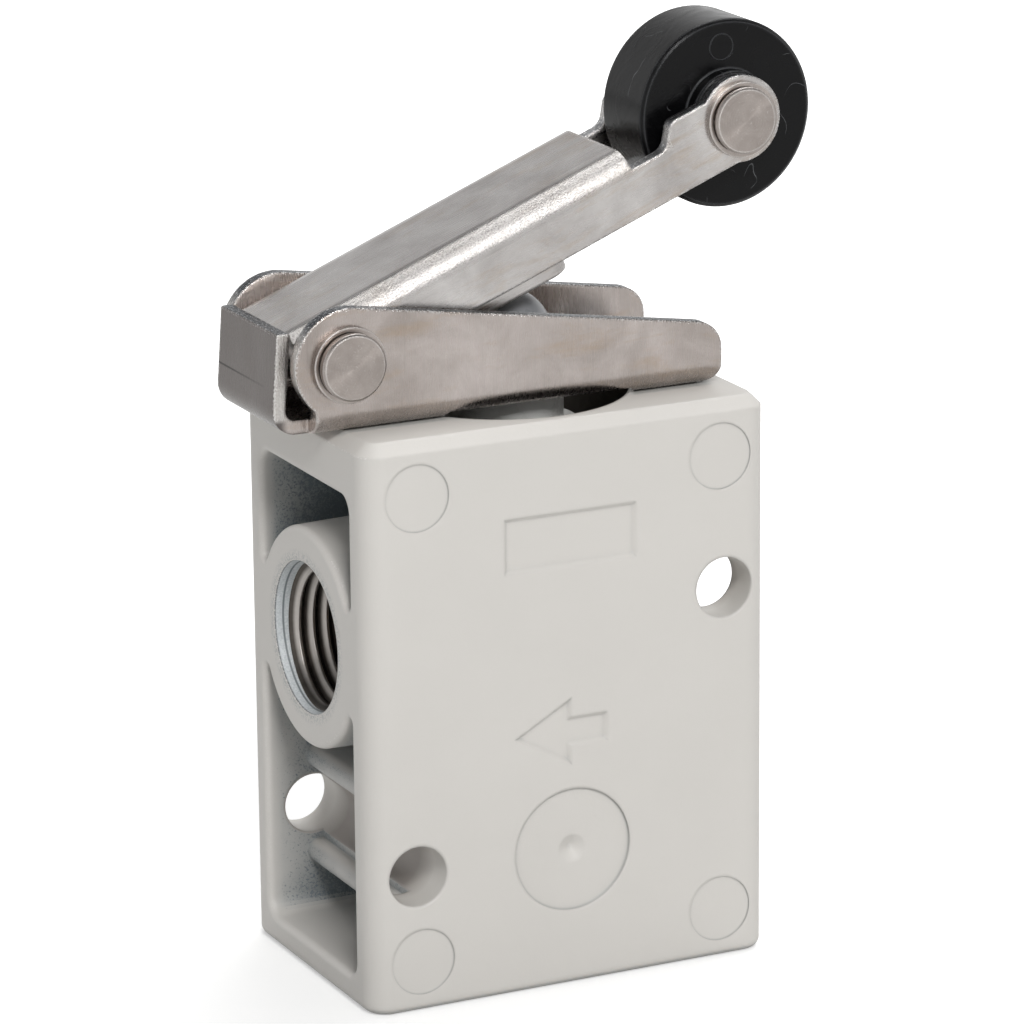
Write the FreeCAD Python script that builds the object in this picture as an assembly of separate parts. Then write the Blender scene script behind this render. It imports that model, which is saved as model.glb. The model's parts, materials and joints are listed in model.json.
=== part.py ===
import FreeCAD, Part
import math
import os

# Roller lever air valve, a 3-port 2-position valve with a quarter inch port on each side.
# Millimetres. The plunger axis is the Z axis, the bottom face of the body is Z 0,
# the front face looks along -Y and the roller end of the lever is on the +X side.

Vector = FreeCAD.Vector
ORIGIN = Vector(0, 0, 0)
RIGHT = Vector(1, 0, 0)
BACK = Vector(0, 1, 0)
UP = Vector(0, 0, 1)

# Fits and clearances
running_fit = 0.04          # radial play of a pin or sliding part in its bore
close_fit = 0.01            # radial play of a part that stays put in its seat
side_play = 0.1             # play left between flat faces that move past each other
stop_gap = 0.06             # lever end to stop tab at rest
contact_gap = 0.3           # room kept between two moving parts that press on each other
cut_overlap = 1.0           # how far a cutting tool reaches past the face it cuts
match = 0.01                # two places closer than this count as the same

# Valve body
body_width = 39.0
body_depth = 26.0
body_height = 51.5
body_edge_radius = 2.2
body_top_bevel = 1.1
body_foot_radius = 0.9

mount_hole_radius = 2.75
mount_spacing_x = 30.0
mount_spacing_z = 22.0
mount_middle_drop = 28.0    # midway between the mounting holes, below the top face

port_spacing_z = 15.6       # outlet axis above the inlet axis
port_radius = 6.58          # major radius of the quarter inch pipe thread
port_mouth_radius = 6.85
port_mouth_depth = 1.5
port_depth = 10.5
port_drill_depth = 1.2
passage_radius = 3.6
port_boss_wall = 3.32
port_boss_radius = port_radius + port_boss_wall

cavity_half_width = 9.35
cavity_bottom = 2.7
cavity_top_wall = 5.3
cavity_depth = 11.0
cavity_mouth_corner_radius = 1.6
cavity_corner_radius = 0.5
cavity_draft = 0.22
cavity_lip_radius = 0.6
core_upper_wall = 1.8
core_lower_wall = 2.4
core_shoulder_drop = 0.9

lug_face_depth = 5.4
lug_rib_depth = 3.9
lug_rib_offset = 4.5
lug_rib_thickness = 2.2
lug_rib_nose_flat = 0.01

counterbore_radius = 11.0
counterbore_depth = 13.0
main_bore_radius = 8.0
main_bore_depth = 27.0
lower_bore_radius = 6.0
lower_bore_floor = 8.0

# Shallow marks of the casting on the front face
mark_depth = 0.35
plate_mark_drop = 10.5
plate_mark_width = 12.8
plate_mark_height = 5.0
arrow_tip_x = -5.6
arrow_head_length = 5.6
arrow_length = 9.1
arrow_head_height = 6.25
arrow_shaft_height = 2.65
ejector_radius = 3.0
ejector_inset_x = 4.9
ejector_low_z = 4.6
ejector_drop = 5.0
ejector_depth = 0.12
disc_mark_radius = 5.6
disc_mark_drop = 10.9       # below the arrow's axis
disc_mark_depth = 0.25
dimple_radius = 1.3
dimple_depth = 0.7

# Lever bracket
sheet = 1.2
bracket_width = 16.0
bracket_bend_radius = 1.9
hinge_inset = 1.0           # hinge axis inside the body's left edge
hinge_height = 6.1          # hinge axis above the body's top
ear_radius = 4.9
bracket_right_inset = 2.1
bracket_right_height = 5.55
bracket_left_reach = 3.0    # wall's left end beyond the hinge axis
bracket_top_corner_radius = 2.6
bracket_bottom_corner_radius = 2.0
ear_root_radius = 1.0       # inside corner where the ear runs into the foot of the wall
web_hole_gap = 0.5          # web hole's edge outside the counterbore
web_hole_bend = 47.5        # degrees of each wall bend that the web hole cuts into
tab_width = 12.0
tab_reach = 4.5             # tab's inner face beyond the hinge axis
tab_rise = 2.8              # tab's top above the hinge axis
tab_lean = 0.65
tab_bend_radius = 2.1
tab_edge_radius = 0.2

pin_radius = 2.0
pin_flange_radius = 3.35
pin_face_radius = 2.95
pin_neck_radius = 2.75
pin_flange_thickness = 0.5
pin_neck_width = 0.2
hinge_pin_head_height = 1.45
roller_pin_head_height = 1.1
pin_tail = 1.8
pin_face_bevel = 0.2
pin_tip_bevel = 0.3
clip_groove_radius = 1.6
clip_thickness = 0.6
clip_radius = 3.5
clip_ring_width = 0.9
clip_prong_width = 1.3
clip_opening = 3.3
clip_prong_overlap = 0.3     # how far a prong runs into the clip's band

screw_left_gap = 4.7        # screw axes beyond the counterbore's wall
screw_right_gap = 3.35
screw_radius = 1.5
screw_head_radius = 2.75
screw_head_height = 1.9
screw_head_rounding = 1.14
screw_length = 6.0
screw_recess_width = 0.75
screw_recess_length = 2.9
screw_recess_depth = 1.0

# Lever and roller, measured along the lever from the hinge
lever_slope = 21.8
lever_gap = 0.3             # lever to bracket wall
lever_bend_radius = 2.2
lever_top = 3.95            # height of the web's upper face above the hinge axis
lever_edge = -1.95          # height of the flanges' lower edge
lever_web_end = 31.3
hinge_end_radius = 3.6
flange_knee = 10.5
flange_knee_reach = 5.5
flange_knee_radius = 2.0
arm_top = 4.45
notch_bottom = 2.35
notch_start = 31.0
notch_step = 35.9
notch_step_lean = 1.3
notch_step_radius = 0.8
notch_corner_radius = 1.4
roller_s = 42.2
roller_n = 1.55
arm_end_radius = 3.85
presser_start = 9.5
presser_end = 23.2
presser_bottom = -3.55
presser_edge_gap = 0.2      # presser plate to the near flange
presser_corner_radius = 2.0

roller_radius = 8.4
roller_width = 7.5
roller_rim_bevel = 0.3
roller_hub_radius = 4.0
roller_hub_edge = 0.2

# Plunger and guide
plunger_dome_radius = 4.4
plunger_head_radius = 5.25
plunger_shoulder_height = 0.5
plunger_shoulder_bevel = 0.5
plunger_collar_radius = 5.8
plunger_collar_drop = 6.5
plunger_collar_height = 1.6
plunger_cup_radius = 4.3
plunger_cup_drop = 2.0
stem_radius = 2.4
stem_bore_radius = 1.1
stem_bore_drop = 3.0
stem_gap = 1.2              # stem's tip above the rubber disc at rest
stem_port_radius = 0.8
stem_port_drop = 5.5

guide_flange_gap = 0.1
guide_flange_thickness = 2.0
guide_neck_radius = 6.6
guide_top_drop = 3.0
guide_step_gap = 0.2        # collar to the guide's inner step at rest
guide_chamber_depth = 0.5
guide_skirt_height = 3.5
guide_vent_height = 3.6
guide_vent_radius = 0.9
guide_vent_count = 4

seal_section_radius = 0.62
seal_groove_width = 1.6
guide_seal_height = 1.5     # seal groove above the guide's foot
stem_seal_section_radius = 0.5
stem_seal_groove_width = 1.3
seat_seal_height = 1.9

ring_thickness = 1.0
ring_groove_depth = 0.5
ring_band_width = 1.8
ring_gap = 5.4
ring_lug_radius = 1.3
ring_lug_hole_radius = 0.7
ring_lug_overlap = 0.25      # how far a lug reaches across the ring's cut end

# Valve seat and poppet
seat_floor_thickness = 3.5
seat_bore_radius = 3.2
seat_lip_radius = 3.9
seat_lip_height = 0.8
seat_lip_flare = 0.6
cage_wall = 1.8
cage_window_foot = 1.0      # wall left between windows and cage floor
cage_window_head = 1.4      # wall left between windows and the guide's foot
cage_window_count = 4

poppet_rim_drop = 0.75      # poppet's rim below the rubber disc's face
poppet_height = 9.4
poppet_skirt_height = 5.6
poppet_cup_radius = 4.3
poppet_cup_depth = 5.0
poppet_flute_radius = 1.4
poppet_flute_offset = 0.4   # flute axis outside the skirt's outer wall
poppet_flute_count = 4
poppet_neck_radius = 5.0
poppet_shoulder_height = 0.6
poppet_seal_radius = 4.5
poppet_seal_thickness = 1.5
poppet_seal_gap = 0.05

# Springs
spring_wire_radius = 0.35
spring_coils = 4.5
plunger_spring_radius = 3.35
poppet_spring_radius = 3.6

# Values that follow from the ones above
half_width = body_width / 2
half_depth = body_depth / 2
mount_middle_z = body_height - mount_middle_drop
outlet_z = mount_middle_z + port_spacing_z / 2
inlet_z = mount_middle_z - port_spacing_z / 2
cavity_top = body_height - cavity_top_wall
main_bore_floor = body_height - main_bore_depth
counterbore_floor = body_height - counterbore_depth
core_upper_radius = counterbore_radius + core_upper_wall
core_lower_radius = main_bore_radius + core_lower_wall
core_shoulder_z = counterbore_floor - core_shoulder_drop
plate_mark_z = body_height - plate_mark_drop
disc_mark_z = mount_middle_z - disc_mark_drop
ejector_high_z = body_height - ejector_drop

hinge_x = hinge_inset - half_width
hinge_z = body_height + hinge_height
half_bracket = bracket_width / 2
bracket_floor = body_height + sheet
bracket_left_end = hinge_x - bracket_left_reach
bracket_right_end = half_width - bracket_right_inset
web_hole_radius = counterbore_radius + web_hole_gap
tab_inner_x = hinge_x - tab_reach
tab_top = hinge_z + tab_rise
screw_left_x = -counterbore_radius - screw_left_gap
screw_right_x = counterbore_radius + screw_right_gap

lever_width = bracket_width - 2 * sheet - 2 * lever_gap
half_lever = lever_width / 2
presser_near_edge = sheet + presser_edge_gap - half_lever

guide_flange_radius = counterbore_radius - guide_flange_gap
guide_flange_top = counterbore_floor + guide_flange_thickness
guide_top = body_height - guide_top_drop
guide_chamber_floor = counterbore_floor - guide_chamber_depth
guide_foot_z = counterbore_floor - guide_skirt_height
guide_vent_z = counterbore_floor + guide_vent_height
guide_seal_z = guide_foot_z + guide_seal_height
ring_groove_radius = counterbore_radius + ring_groove_depth
ring_inner_radius = ring_groove_radius - ring_band_width

plunger_shoulder_z = body_height + plunger_shoulder_height
plunger_collar_top = body_height - plunger_collar_drop
plunger_cup_roof = body_height - plunger_cup_drop
guide_step_z = plunger_collar_top + guide_step_gap
stem_bore_top = body_height - stem_bore_drop
stem_port_z = body_height - stem_port_drop

seat_seal_z = main_bore_floor + seat_seal_height
seat_floor_top = main_bore_floor + seat_floor_thickness
cage_inner_radius = main_bore_radius - cage_wall
cage_window_radius = (guide_foot_z - cage_window_head - seat_floor_top - cage_window_foot) / 2
cage_window_z = seat_floor_top + cage_window_foot + cage_window_radius
disc_top = main_bore_floor - seat_lip_height - poppet_seal_gap
poppet_top = disc_top - poppet_rim_drop
poppet_bottom = poppet_top - poppet_height
poppet_cup_roof = poppet_bottom + poppet_cup_depth
stem_tip_z = disc_top + stem_gap

clip_slot = clip_thickness + 0.1
plunger_guide_bore = plunger_head_radius + running_fit
slope_cos = math.cos(math.radians(lever_slope))
slope_sin = math.sin(math.radians(lever_slope))
# the web's left end stands a stop gap away from the tab
lever_left_end = (tab_inner_x + stop_gap - hinge_x + lever_top * slope_sin) / slope_cos
# the dome stands a contact gap below the presser plate, its centre on the Z axis
dome_centre_n = presser_bottom - contact_gap - plunger_dome_radius
dome_centre_s = (dome_centre_n * slope_sin - hinge_x) / slope_cos
plunger_dome_z = hinge_z + dome_centre_s * slope_sin + dome_centre_n * slope_cos


# Small shape helpers
def on_plane(plane, a, b):
    """Point of a flat drawing: plane "xz", "yz" or "xy"."""
    if plane == "xz":
        return Vector(a, 0, b)
    if plane == "yz":
        return Vector(0, a, b)
    return Vector(a, b, 0)


def outline(corners, plane):
    """Closed flat face through (a, b, corner radius) points, each corner rounded by its radius."""
    starts = []
    ends = []
    arcs = []
    count = len(corners)
    for index in range(count):
        a, b, radius = corners[index]
        corner = on_plane(plane, a, b)
        before = on_plane(plane, *corners[index - 1][:2]) - corner
        after = on_plane(plane, *corners[(index + 1) % count][:2]) - corner
        before.normalize()
        after.normalize()
        if radius == 0:
            starts.append(corner)
            ends.append(corner)
            arcs.append(None)
            continue
        half_angle = before.getAngle(after) / 2
        reach = radius / math.tan(half_angle)
        middle = before + after
        middle.normalize()
        centre = corner + middle * (radius / math.sin(half_angle))
        first = corner + before * reach
        last = corner + after * reach
        starts.append(first)
        ends.append(last)
        arcs.append(Part.Arc(first, centre - middle * radius, last).toShape())
    edges = []
    for index in range(count):
        if arcs[index]:
            edges.append(arcs[index])
        following = starts[(index + 1) % count]
        if ends[index].distanceToPoint(following) > 1e-6:
            edges.append(Part.makeLine(ends[index], following))
    return Part.Face(Part.Wire(edges))


def prism(corners, plane, start, end):
    """Solid of one flat outline between two positions across its plane."""
    across = {"xz": BACK, "yz": RIGHT, "xy": UP}[plane]
    face = outline(corners, plane)
    face.translate(across * start)
    return face.extrude(across * (end - start))


def rectangle(a0, b0, a1, b1, radius=0):
    return [(a0, b0, radius), (a1, b0, radius), (a1, b1, radius), (a0, b1, radius)]


def box(x0, y0, z0, x1, y1, z1):
    return Part.makeBox(x1 - x0, y1 - y0, z1 - z0, Vector(x0, y0, z0))


def rod(radius, start, end, direction, centre=ORIGIN):
    """Round rod between two positions along a direction."""
    return Part.makeCylinder(radius, end - start, centre + direction * start, direction)


def turned(points):
    """Solid of revolution about Z of a closed list of (radius, height) points."""
    wire = Part.makePolygon([Vector(r, 0, z) for r, z in points] + [Vector(points[0][0], 0, points[0][1])])
    return Part.Face(wire).revolve(ORIGIN, UP, 360)


def ring(section_radius, radius, height):
    return Part.makeTorus(radius, section_radius, Vector(0, 0, height), UP)


def around(shape, count, first_angle=0.0):
    """Copies of a shape spaced evenly about the Z axis."""
    copies = []
    for index in range(count):
        turned_copy = shape.copy()
        turned_copy.rotate(ORIGIN, UP, first_angle + 360.0 * index / count)
        copies.append(turned_copy)
    return copies


def edges_above(shape, height):
    return [edge for edge in shape.Edges if edge.BoundBox.ZMin > height - match]


def front_to_back(shape):
    """Lays a part drawn along Z so that its height runs from front to back, along +Y."""
    laid = shape.copy()
    laid.rotate(ORIGIN, RIGHT, -90)
    return laid


def moved(shape, x, y, z):
    placed = shape.copy()
    placed.translate(Vector(x, y, z))
    return placed


def on_lever(shape):
    """Carries a shape drawn in the lever's own directions to its place at rest."""
    placed = shape.copy()
    placed.rotate(ORIGIN, BACK, -lever_slope)
    placed.translate(Vector(hinge_x, 0, hinge_z))
    return placed


def lever_point(s, n):
    """Place at rest of a point given along the lever and square to it."""
    x = hinge_x + s * slope_cos - n * slope_sin
    z = hinge_z + s * slope_sin + n * slope_cos
    return x, z


def channel(width, height, bend_radius, start, end):
    """Bent sheet channel along X, open at the top, its web's lower face at height 0."""
    half = width / 2
    outer = [(-half, 0, bend_radius), (half, 0, bend_radius), (half, height, 0), (-half, height, 0)]
    inner_radius = bend_radius - sheet
    inner = [
        (sheet - half, sheet, inner_radius),
        (half - sheet, sheet, inner_radius),
        (half - sheet, height + cut_overlap, 0),
        (sheet - half, height + cut_overlap, 0),
    ]
    return prism(outer, "yz", start, end).cut(prism(inner, "yz", start - cut_overlap, end + cut_overlap))


def coil(radius, bottom, top):
    """Compression spring wire between two flat faces."""
    low = bottom + spring_wire_radius
    pitch = (top - bottom - 2 * spring_wire_radius) / spring_coils
    path = Part.makeHelix(pitch, pitch * spring_coils, radius)
    path.translate(Vector(0, 0, low))
    section = Part.Wire(Part.makeCircle(spring_wire_radius, Vector(radius, 0, low), BACK))
    return Part.Wire(path.Edges).makePipeShell([section], True, True)


# Valve body
def body_block():
    """Outer block with its rounded upright edges, bevelled top and softened foot."""
    plan = rectangle(-half_width, -half_depth, half_width, half_depth, body_edge_radius)
    block = prism(plan, "xy", 0, body_height)
    block = block.makeChamfer(body_top_bevel, edges_above(block, body_height))
    foot_edges = [edge for edge in block.Edges if edge.BoundBox.ZMax < match]
    return block.makeFillet(body_foot_radius, foot_edges)


def cavity_outlines(port_z):
    """Flat outlines of the two pockets above and below a port boss, their corners rounded."""
    half = cavity_half_width
    mouth = rectangle(-half, cavity_bottom, half, cavity_top, cavity_mouth_corner_radius)
    frame = outline(mouth, "yz")
    boss = Part.Face(Part.Wire(Part.makeCircle(port_boss_radius, Vector(0, 0, port_z), RIGHT)))
    pockets = []
    for face in frame.cut(boss).Faces:
        shrunk = face.makeOffset2D(-cavity_corner_radius)
        pockets.append(shrunk.makeOffset2D(cavity_corner_radius))
    return pockets


def drafted_pocket(face, depth):
    """Pocket tool from the side face inwards, its walls closing in a little with depth."""
    mouth = face.Faces[0].OuterWire.copy()
    inner = face.Faces[0].makeOffset2D(-cavity_draft).Faces[0].OuterWire.copy()
    mouth.translate(RIGHT * -half_width)
    inner.translate(RIGHT * (depth - half_width))
    return Part.makeLoft([mouth, inner], True, True)


def core_column():
    """Round wall left standing around the upright bore."""
    upper = rod(core_upper_radius, core_shoulder_z, body_height, UP)
    lower = rod(core_lower_radius, 0, core_shoulder_z, UP)
    return upper.fuse(lower)


def mount_lug(hole_z):
    """Block with two round-nosed ribs beside the mounting hole, in the left cavity."""
    face_x = lug_face_depth - half_width
    rib_x = lug_rib_depth - half_width
    nose = lug_rib_thickness / 2 - lug_rib_nose_flat
    lug = box(face_x, -half_depth, hole_z - lug_rib_offset, 0, half_depth, hole_z + lug_rib_offset)
    for side in (-1, 1):
        middle = hole_z + side * lug_rib_offset
        low = middle - lug_rib_thickness / 2
        high = middle + lug_rib_thickness / 2
        rib = [(rib_x, low, nose), (0, low, 0), (0, high, 0), (rib_x, high, nose)]
        lug = lug.fuse(prism(rib, "xz", -half_depth, half_depth))
    return lug


def side_cavity(port_z, hole_z):
    """Everything the left side cavity takes away, with boss, core and lug left standing."""
    keep = core_column().fuse(mount_lug(hole_z))
    pockets = [drafted_pocket(face, cavity_depth).cut(keep) for face in cavity_outlines(port_z)]
    return Part.makeCompound([solid for pocket in pockets for solid in pocket.Solids])


def port_bore(port_z, chamber_radius):
    """Left port: chamfered mouth, bore at the thread's major radius, drill point and passage."""
    centre = Vector(0, 0, port_z)
    face = centre - RIGHT * half_width
    tip_base = face + RIGHT * port_depth
    mouth = Part.makeCone(port_mouth_radius, port_radius, port_mouth_depth, face, RIGHT)
    thread = rod(port_radius, 0, port_depth, RIGHT, face)
    tip = Part.makeCone(port_radius, passage_radius, port_drill_depth, tip_base, RIGHT)
    passage = rod(passage_radius, -half_width + cut_overlap, -chamber_radius / 2, RIGHT, centre)
    return thread.multiFuse([mouth, tip, passage])


def to_right_side(shape):
    return shape.mirror(ORIGIN, RIGHT)


def upright_bore():
    """Stepped bore from the top with the groove of the retaining ring."""
    top = body_height + cut_overlap
    lower = rod(lower_bore_radius, lower_bore_floor, top, UP)
    main = rod(main_bore_radius, main_bore_floor, top, UP)
    counterbore = rod(counterbore_radius, counterbore_floor, top, UP)
    groove = rod(ring_groove_radius, guide_flange_top, guide_flange_top + ring_thickness, UP)
    return lower.multiFuse([main, counterbore, groove])


def sunk_mark(corners):
    """Shallow recess tool for the front face, its walls sloping in at 45 degrees."""
    mouth = outline(corners, "xz")
    floor = mouth.makeOffset2D(-mark_depth, 2)
    mouth.translate(BACK * -half_depth)
    floor.translate(BACK * (mark_depth - half_depth))
    return Part.makeLoft([mouth.OuterWire, floor.Faces[0].OuterWire], True, True)


def arrow_outline():
    """Flow arrow pointing left, from the inlet side to the outlet side."""
    neck_x = arrow_tip_x + arrow_head_length
    end_x = arrow_tip_x + arrow_length
    head = arrow_head_height / 2
    shaft = arrow_shaft_height / 2
    lower = [(arrow_tip_x, 0), (neck_x, -head), (neck_x, -shaft), (end_x, -shaft)]
    upper = [(x, -z) for x, z in reversed(lower[1:])]
    return [(x, mount_middle_z + z, 0) for x, z in lower + upper]


def front_marks():
    """Shallow casting marks cut into the front face."""
    low = plate_mark_z - plate_mark_height / 2
    plate = rectangle(-plate_mark_width / 2, low, plate_mark_width / 2, low + plate_mark_height)
    start = -half_depth - cut_overlap
    disc_floor = disc_mark_depth - half_depth
    disc_centre = Vector(0, 0, disc_mark_z)
    marks = [
        sunk_mark(plate),
        sunk_mark(arrow_outline()),
        rod(disc_mark_radius, start, disc_floor, BACK, disc_centre),
        Part.makeCone(dimple_radius, 0, dimple_depth, disc_centre + BACK * disc_floor, BACK),
    ]
    for side in (-1, 1):
        for z in (ejector_low_z, ejector_high_z):
            centre = Vector(side * (half_width - ejector_inset_x), 0, z)
            marks.append(rod(ejector_radius, start, ejector_depth - half_depth, BACK, centre))
    return marks


def mount_hole_places():
    """Centres of the two mounting holes in (x, z): low on the left, high on the right."""
    x = mount_spacing_x / 2
    z = mount_spacing_z / 2
    return [(-x, mount_middle_z - z), (x, mount_middle_z + z)]


def soften_cavity_lips(body):
    """Rounds the edges of the cavity mouths on both side faces."""
    lips = []
    for edge in body.Edges:
        bounds = edge.BoundBox
        on_side = bounds.XLength < match and abs(abs(bounds.XMin) - half_width) < match
        inside = max(-bounds.YMin, bounds.YMax) < cavity_half_width + match
        port = abs(bounds.ZLength - 2 * port_mouth_radius) < match
        if on_side and inside and not port:
            lips.append(edge)
    return body.makeFillet(cavity_lip_radius, lips)


def valve_body():
    """Die-cast body with open side cavities around two ports, mounting holes and upright bore."""
    low_hole, high_hole = mount_hole_places()
    body = body_block()
    body = body.cut(side_cavity(outlet_z, low_hole[1]))
    body = body.cut(to_right_side(side_cavity(inlet_z, high_hole[1])))
    body = soften_cavity_lips(body)
    cuts = [upright_bore(), port_bore(outlet_z, main_bore_radius)]
    cuts.append(to_right_side(port_bore(inlet_z, lower_bore_radius)))
    reach = half_depth + cut_overlap
    for x, z in (low_hole, high_hole):
        cuts.append(rod(mount_hole_radius, -reach, reach, BACK, Vector(x, 0, z)))
    low = bracket_floor - screw_length
    for x in (screw_left_x, screw_right_x):
        cuts.append(rod(screw_radius, low, body_height + cut_overlap, UP, Vector(x, 0, 0)))
    return body.cut(cuts + front_marks())


# Guide, plunger, seat and poppet
def plunger_guide():
    """Flanged bush that guides the plunger and closes the outlet chamber from above."""
    skirt_radius = main_bore_radius - close_fit
    stem_bore = stem_radius + running_fit
    outer_groove = main_bore_radius - 2 * seal_section_radius
    inner_groove = stem_radius + 2 * stem_seal_section_radius
    half_groove = seal_groove_width / 2
    half_stem_groove = stem_seal_groove_width / 2
    points = [
        (stem_bore, guide_foot_z),
        (skirt_radius, guide_foot_z),
        (skirt_radius, guide_seal_z - half_groove),
        (outer_groove, guide_seal_z - half_groove),
        (outer_groove, guide_seal_z + half_groove),
        (skirt_radius, guide_seal_z + half_groove),
        (skirt_radius, counterbore_floor),
        (guide_flange_radius, counterbore_floor),
        (guide_flange_radius, guide_flange_top),
        (guide_neck_radius, guide_flange_top),
        (guide_neck_radius, guide_top),
        (plunger_guide_bore, guide_top),
        (plunger_guide_bore, guide_step_z),
        (plunger_collar_radius + running_fit, guide_step_z),
        (plunger_collar_radius + running_fit, guide_chamber_floor),
        (stem_bore, guide_chamber_floor),
        (stem_bore, guide_seal_z + half_stem_groove),
        (inner_groove, guide_seal_z + half_stem_groove),
        (inner_groove, guide_seal_z - half_stem_groove),
        (stem_bore, guide_seal_z - half_stem_groove),
    ]
    vent_place = Vector(0, 0, guide_vent_z)
    vent = rod(guide_vent_radius, plunger_head_radius, guide_neck_radius + cut_overlap, RIGHT, vent_place)
    return turned(points).cut(around(vent, guide_vent_count, 45))


def plunger():
    """Domed push button with a collar, a cup for its spring and a hollow stem."""
    dome_top = plunger_dome_z + plunger_dome_radius
    collar_bottom = plunger_collar_top - plunger_collar_height
    head = rod(plunger_head_radius, collar_bottom, plunger_shoulder_z, UP)
    head = head.makeChamfer(plunger_shoulder_bevel, edges_above(head, plunger_shoulder_z))
    collar = rod(plunger_collar_radius, collar_bottom, plunger_collar_top, UP)
    neck = rod(plunger_dome_radius, plunger_shoulder_z - cut_overlap, plunger_dome_z, UP)
    dome = Part.makeSphere(plunger_dome_radius, Vector(0, 0, plunger_dome_z))
    stem = rod(stem_radius, stem_tip_z, dome_top - plunger_dome_radius, UP)
    cup = rod(plunger_cup_radius, collar_bottom - cut_overlap, plunger_cup_roof, UP)
    bore = rod(stem_bore_radius, stem_tip_z - cut_overlap, stem_bore_top, UP)
    cross = rod(stem_port_radius, -plunger_cup_radius, plunger_cup_radius, RIGHT, Vector(0, 0, stem_port_z))
    shell = head.fuse([collar, neck, dome]).cut(cup)
    return shell.fuse(stem).cut([bore, cross]).removeSplitter()


def valve_seat():
    """Cage with a seat lip below, clamped between the bore step and the plunger guide."""
    cage_radius = main_bore_radius - close_fit
    groove = main_bore_radius - 2 * seal_section_radius
    half_groove = seal_groove_width / 2
    lip_bottom = main_bore_floor - seat_lip_height
    points = [
        (seat_bore_radius, lip_bottom),
        (seat_lip_radius, lip_bottom),
        (seat_lip_radius + seat_lip_flare, main_bore_floor),
        (cage_radius, main_bore_floor),
        (cage_radius, seat_seal_z - half_groove),
        (groove, seat_seal_z - half_groove),
        (groove, seat_seal_z + half_groove),
        (cage_radius, seat_seal_z + half_groove),
        (cage_radius, guide_foot_z),
        (cage_inner_radius, guide_foot_z),
        (cage_inner_radius, seat_floor_top),
        (seat_bore_radius, seat_floor_top),
    ]
    reach = main_bore_radius + cut_overlap
    window = rod(cage_window_radius, seat_bore_radius, reach, RIGHT, Vector(0, 0, cage_window_z))
    return turned(points).cut(around(window, cage_window_count))


def poppet():
    """Fluted piston that carries the rubber disc against the seat."""
    outer = lower_bore_radius - running_fit
    skirt_top = poppet_bottom + poppet_skirt_height
    points = [
        (0, poppet_top),
        (poppet_neck_radius, poppet_top),
        (poppet_neck_radius, skirt_top + poppet_shoulder_height),
        (outer, skirt_top),
        (outer, poppet_bottom),
        (poppet_cup_radius, poppet_bottom),
        (poppet_cup_radius, poppet_cup_roof),
        (0, poppet_cup_roof),
    ]
    flute_axis = Vector(outer + poppet_flute_offset, 0, 0)
    flute = rod(poppet_flute_radius, poppet_bottom - cut_overlap, skirt_top + cut_overlap, UP, flute_axis)
    recess = rod(poppet_seal_radius, disc_top - poppet_seal_thickness, poppet_top + cut_overlap, UP)
    return turned(points).cut(around(flute, poppet_flute_count, 45) + [recess])


def poppet_seal():
    return rod(poppet_seal_radius - close_fit, disc_top - poppet_seal_thickness, disc_top, UP)


def guide_ring():
    """Internal retaining ring with two eyed lugs, resting on the guide's flange."""
    low = guide_flange_top
    high = guide_flange_top + ring_thickness
    band = rod(ring_groove_radius - close_fit, low, high, UP).cut(rod(ring_inner_radius, low, high, UP))
    band = band.cut(box(-ring_gap / 2, 0, low, ring_gap / 2, ring_groove_radius, high))
    lugs = []
    eyes = []
    for side in (-1, 1):
        x = side * (ring_gap / 2 + ring_lug_radius - ring_lug_overlap)
        centre = Vector(x, ring_inner_radius - ring_lug_radius, 0)
        lugs.append(rod(ring_lug_radius, low, high, UP, centre))
        eyes.append(rod(ring_lug_hole_radius, low, high, UP, centre))
    return band.multiFuse(lugs).cut(eyes).removeSplitter()


# Bracket, pins, clips and screws
def hinge_hole(shape, radius):
    """Bores a shape across at the hinge axis."""
    reach = half_bracket + cut_overlap
    return shape.cut(rod(radius, -reach, reach, BACK, Vector(hinge_x, 0, hinge_z)))


def bracket_side():
    """Side view of the bracket walls: round ear at the hinge, tapering to the right end."""
    right_top = body_height + bracket_right_height
    distance = math.hypot(bracket_right_end - hinge_x, right_top - hinge_z)
    slope = math.atan2(right_top - hinge_z, bracket_right_end - hinge_x)
    touch = slope + math.acos(ear_radius / distance)
    touch_x = hinge_x + ear_radius * math.cos(touch)
    touch_z = hinge_z + ear_radius * math.sin(touch)
    wall = [
        (bracket_left_end, body_height, 0),
        (bracket_right_end, body_height, bracket_bottom_corner_radius),
        (bracket_right_end, right_top, bracket_top_corner_radius),
        (touch_x, touch_z, 0),
        (bracket_left_end, hinge_z, 0),
    ]
    ear = rod(ear_radius, -half_bracket, half_bracket, BACK, Vector(hinge_x, 0, hinge_z))
    side = prism(wall, "xz", -half_bracket, half_bracket).fuse(ear)
    roots = []
    for edge in side.Edges:
        bounds = edge.BoundBox
        at_left_end = max(abs(bounds.XMin - bracket_left_end), abs(bounds.XMax - bracket_left_end)) < match
        if at_left_end and bounds.ZLength < match and bounds.ZMin > body_height + match:
            roots.append(edge)
    return side.makeFillet(ear_root_radius, roots)


def stop_tab():
    """Left end of the web bent up into the tab that stops the lever."""
    outer_low = tab_inner_x - sheet - tab_lean
    outer_high = tab_inner_x - sheet
    strip = [
        (bracket_left_end + cut_overlap, body_height, 0),
        (outer_low, body_height, tab_bend_radius),
        (outer_high, tab_top, tab_edge_radius),
        (tab_inner_x, tab_top, tab_edge_radius),
        (tab_inner_x - tab_lean, bracket_floor, tab_bend_radius - sheet),
        (bracket_left_end + cut_overlap, bracket_floor, 0),
    ]
    return prism(strip, "xz", -tab_width / 2, tab_width / 2)


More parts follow.
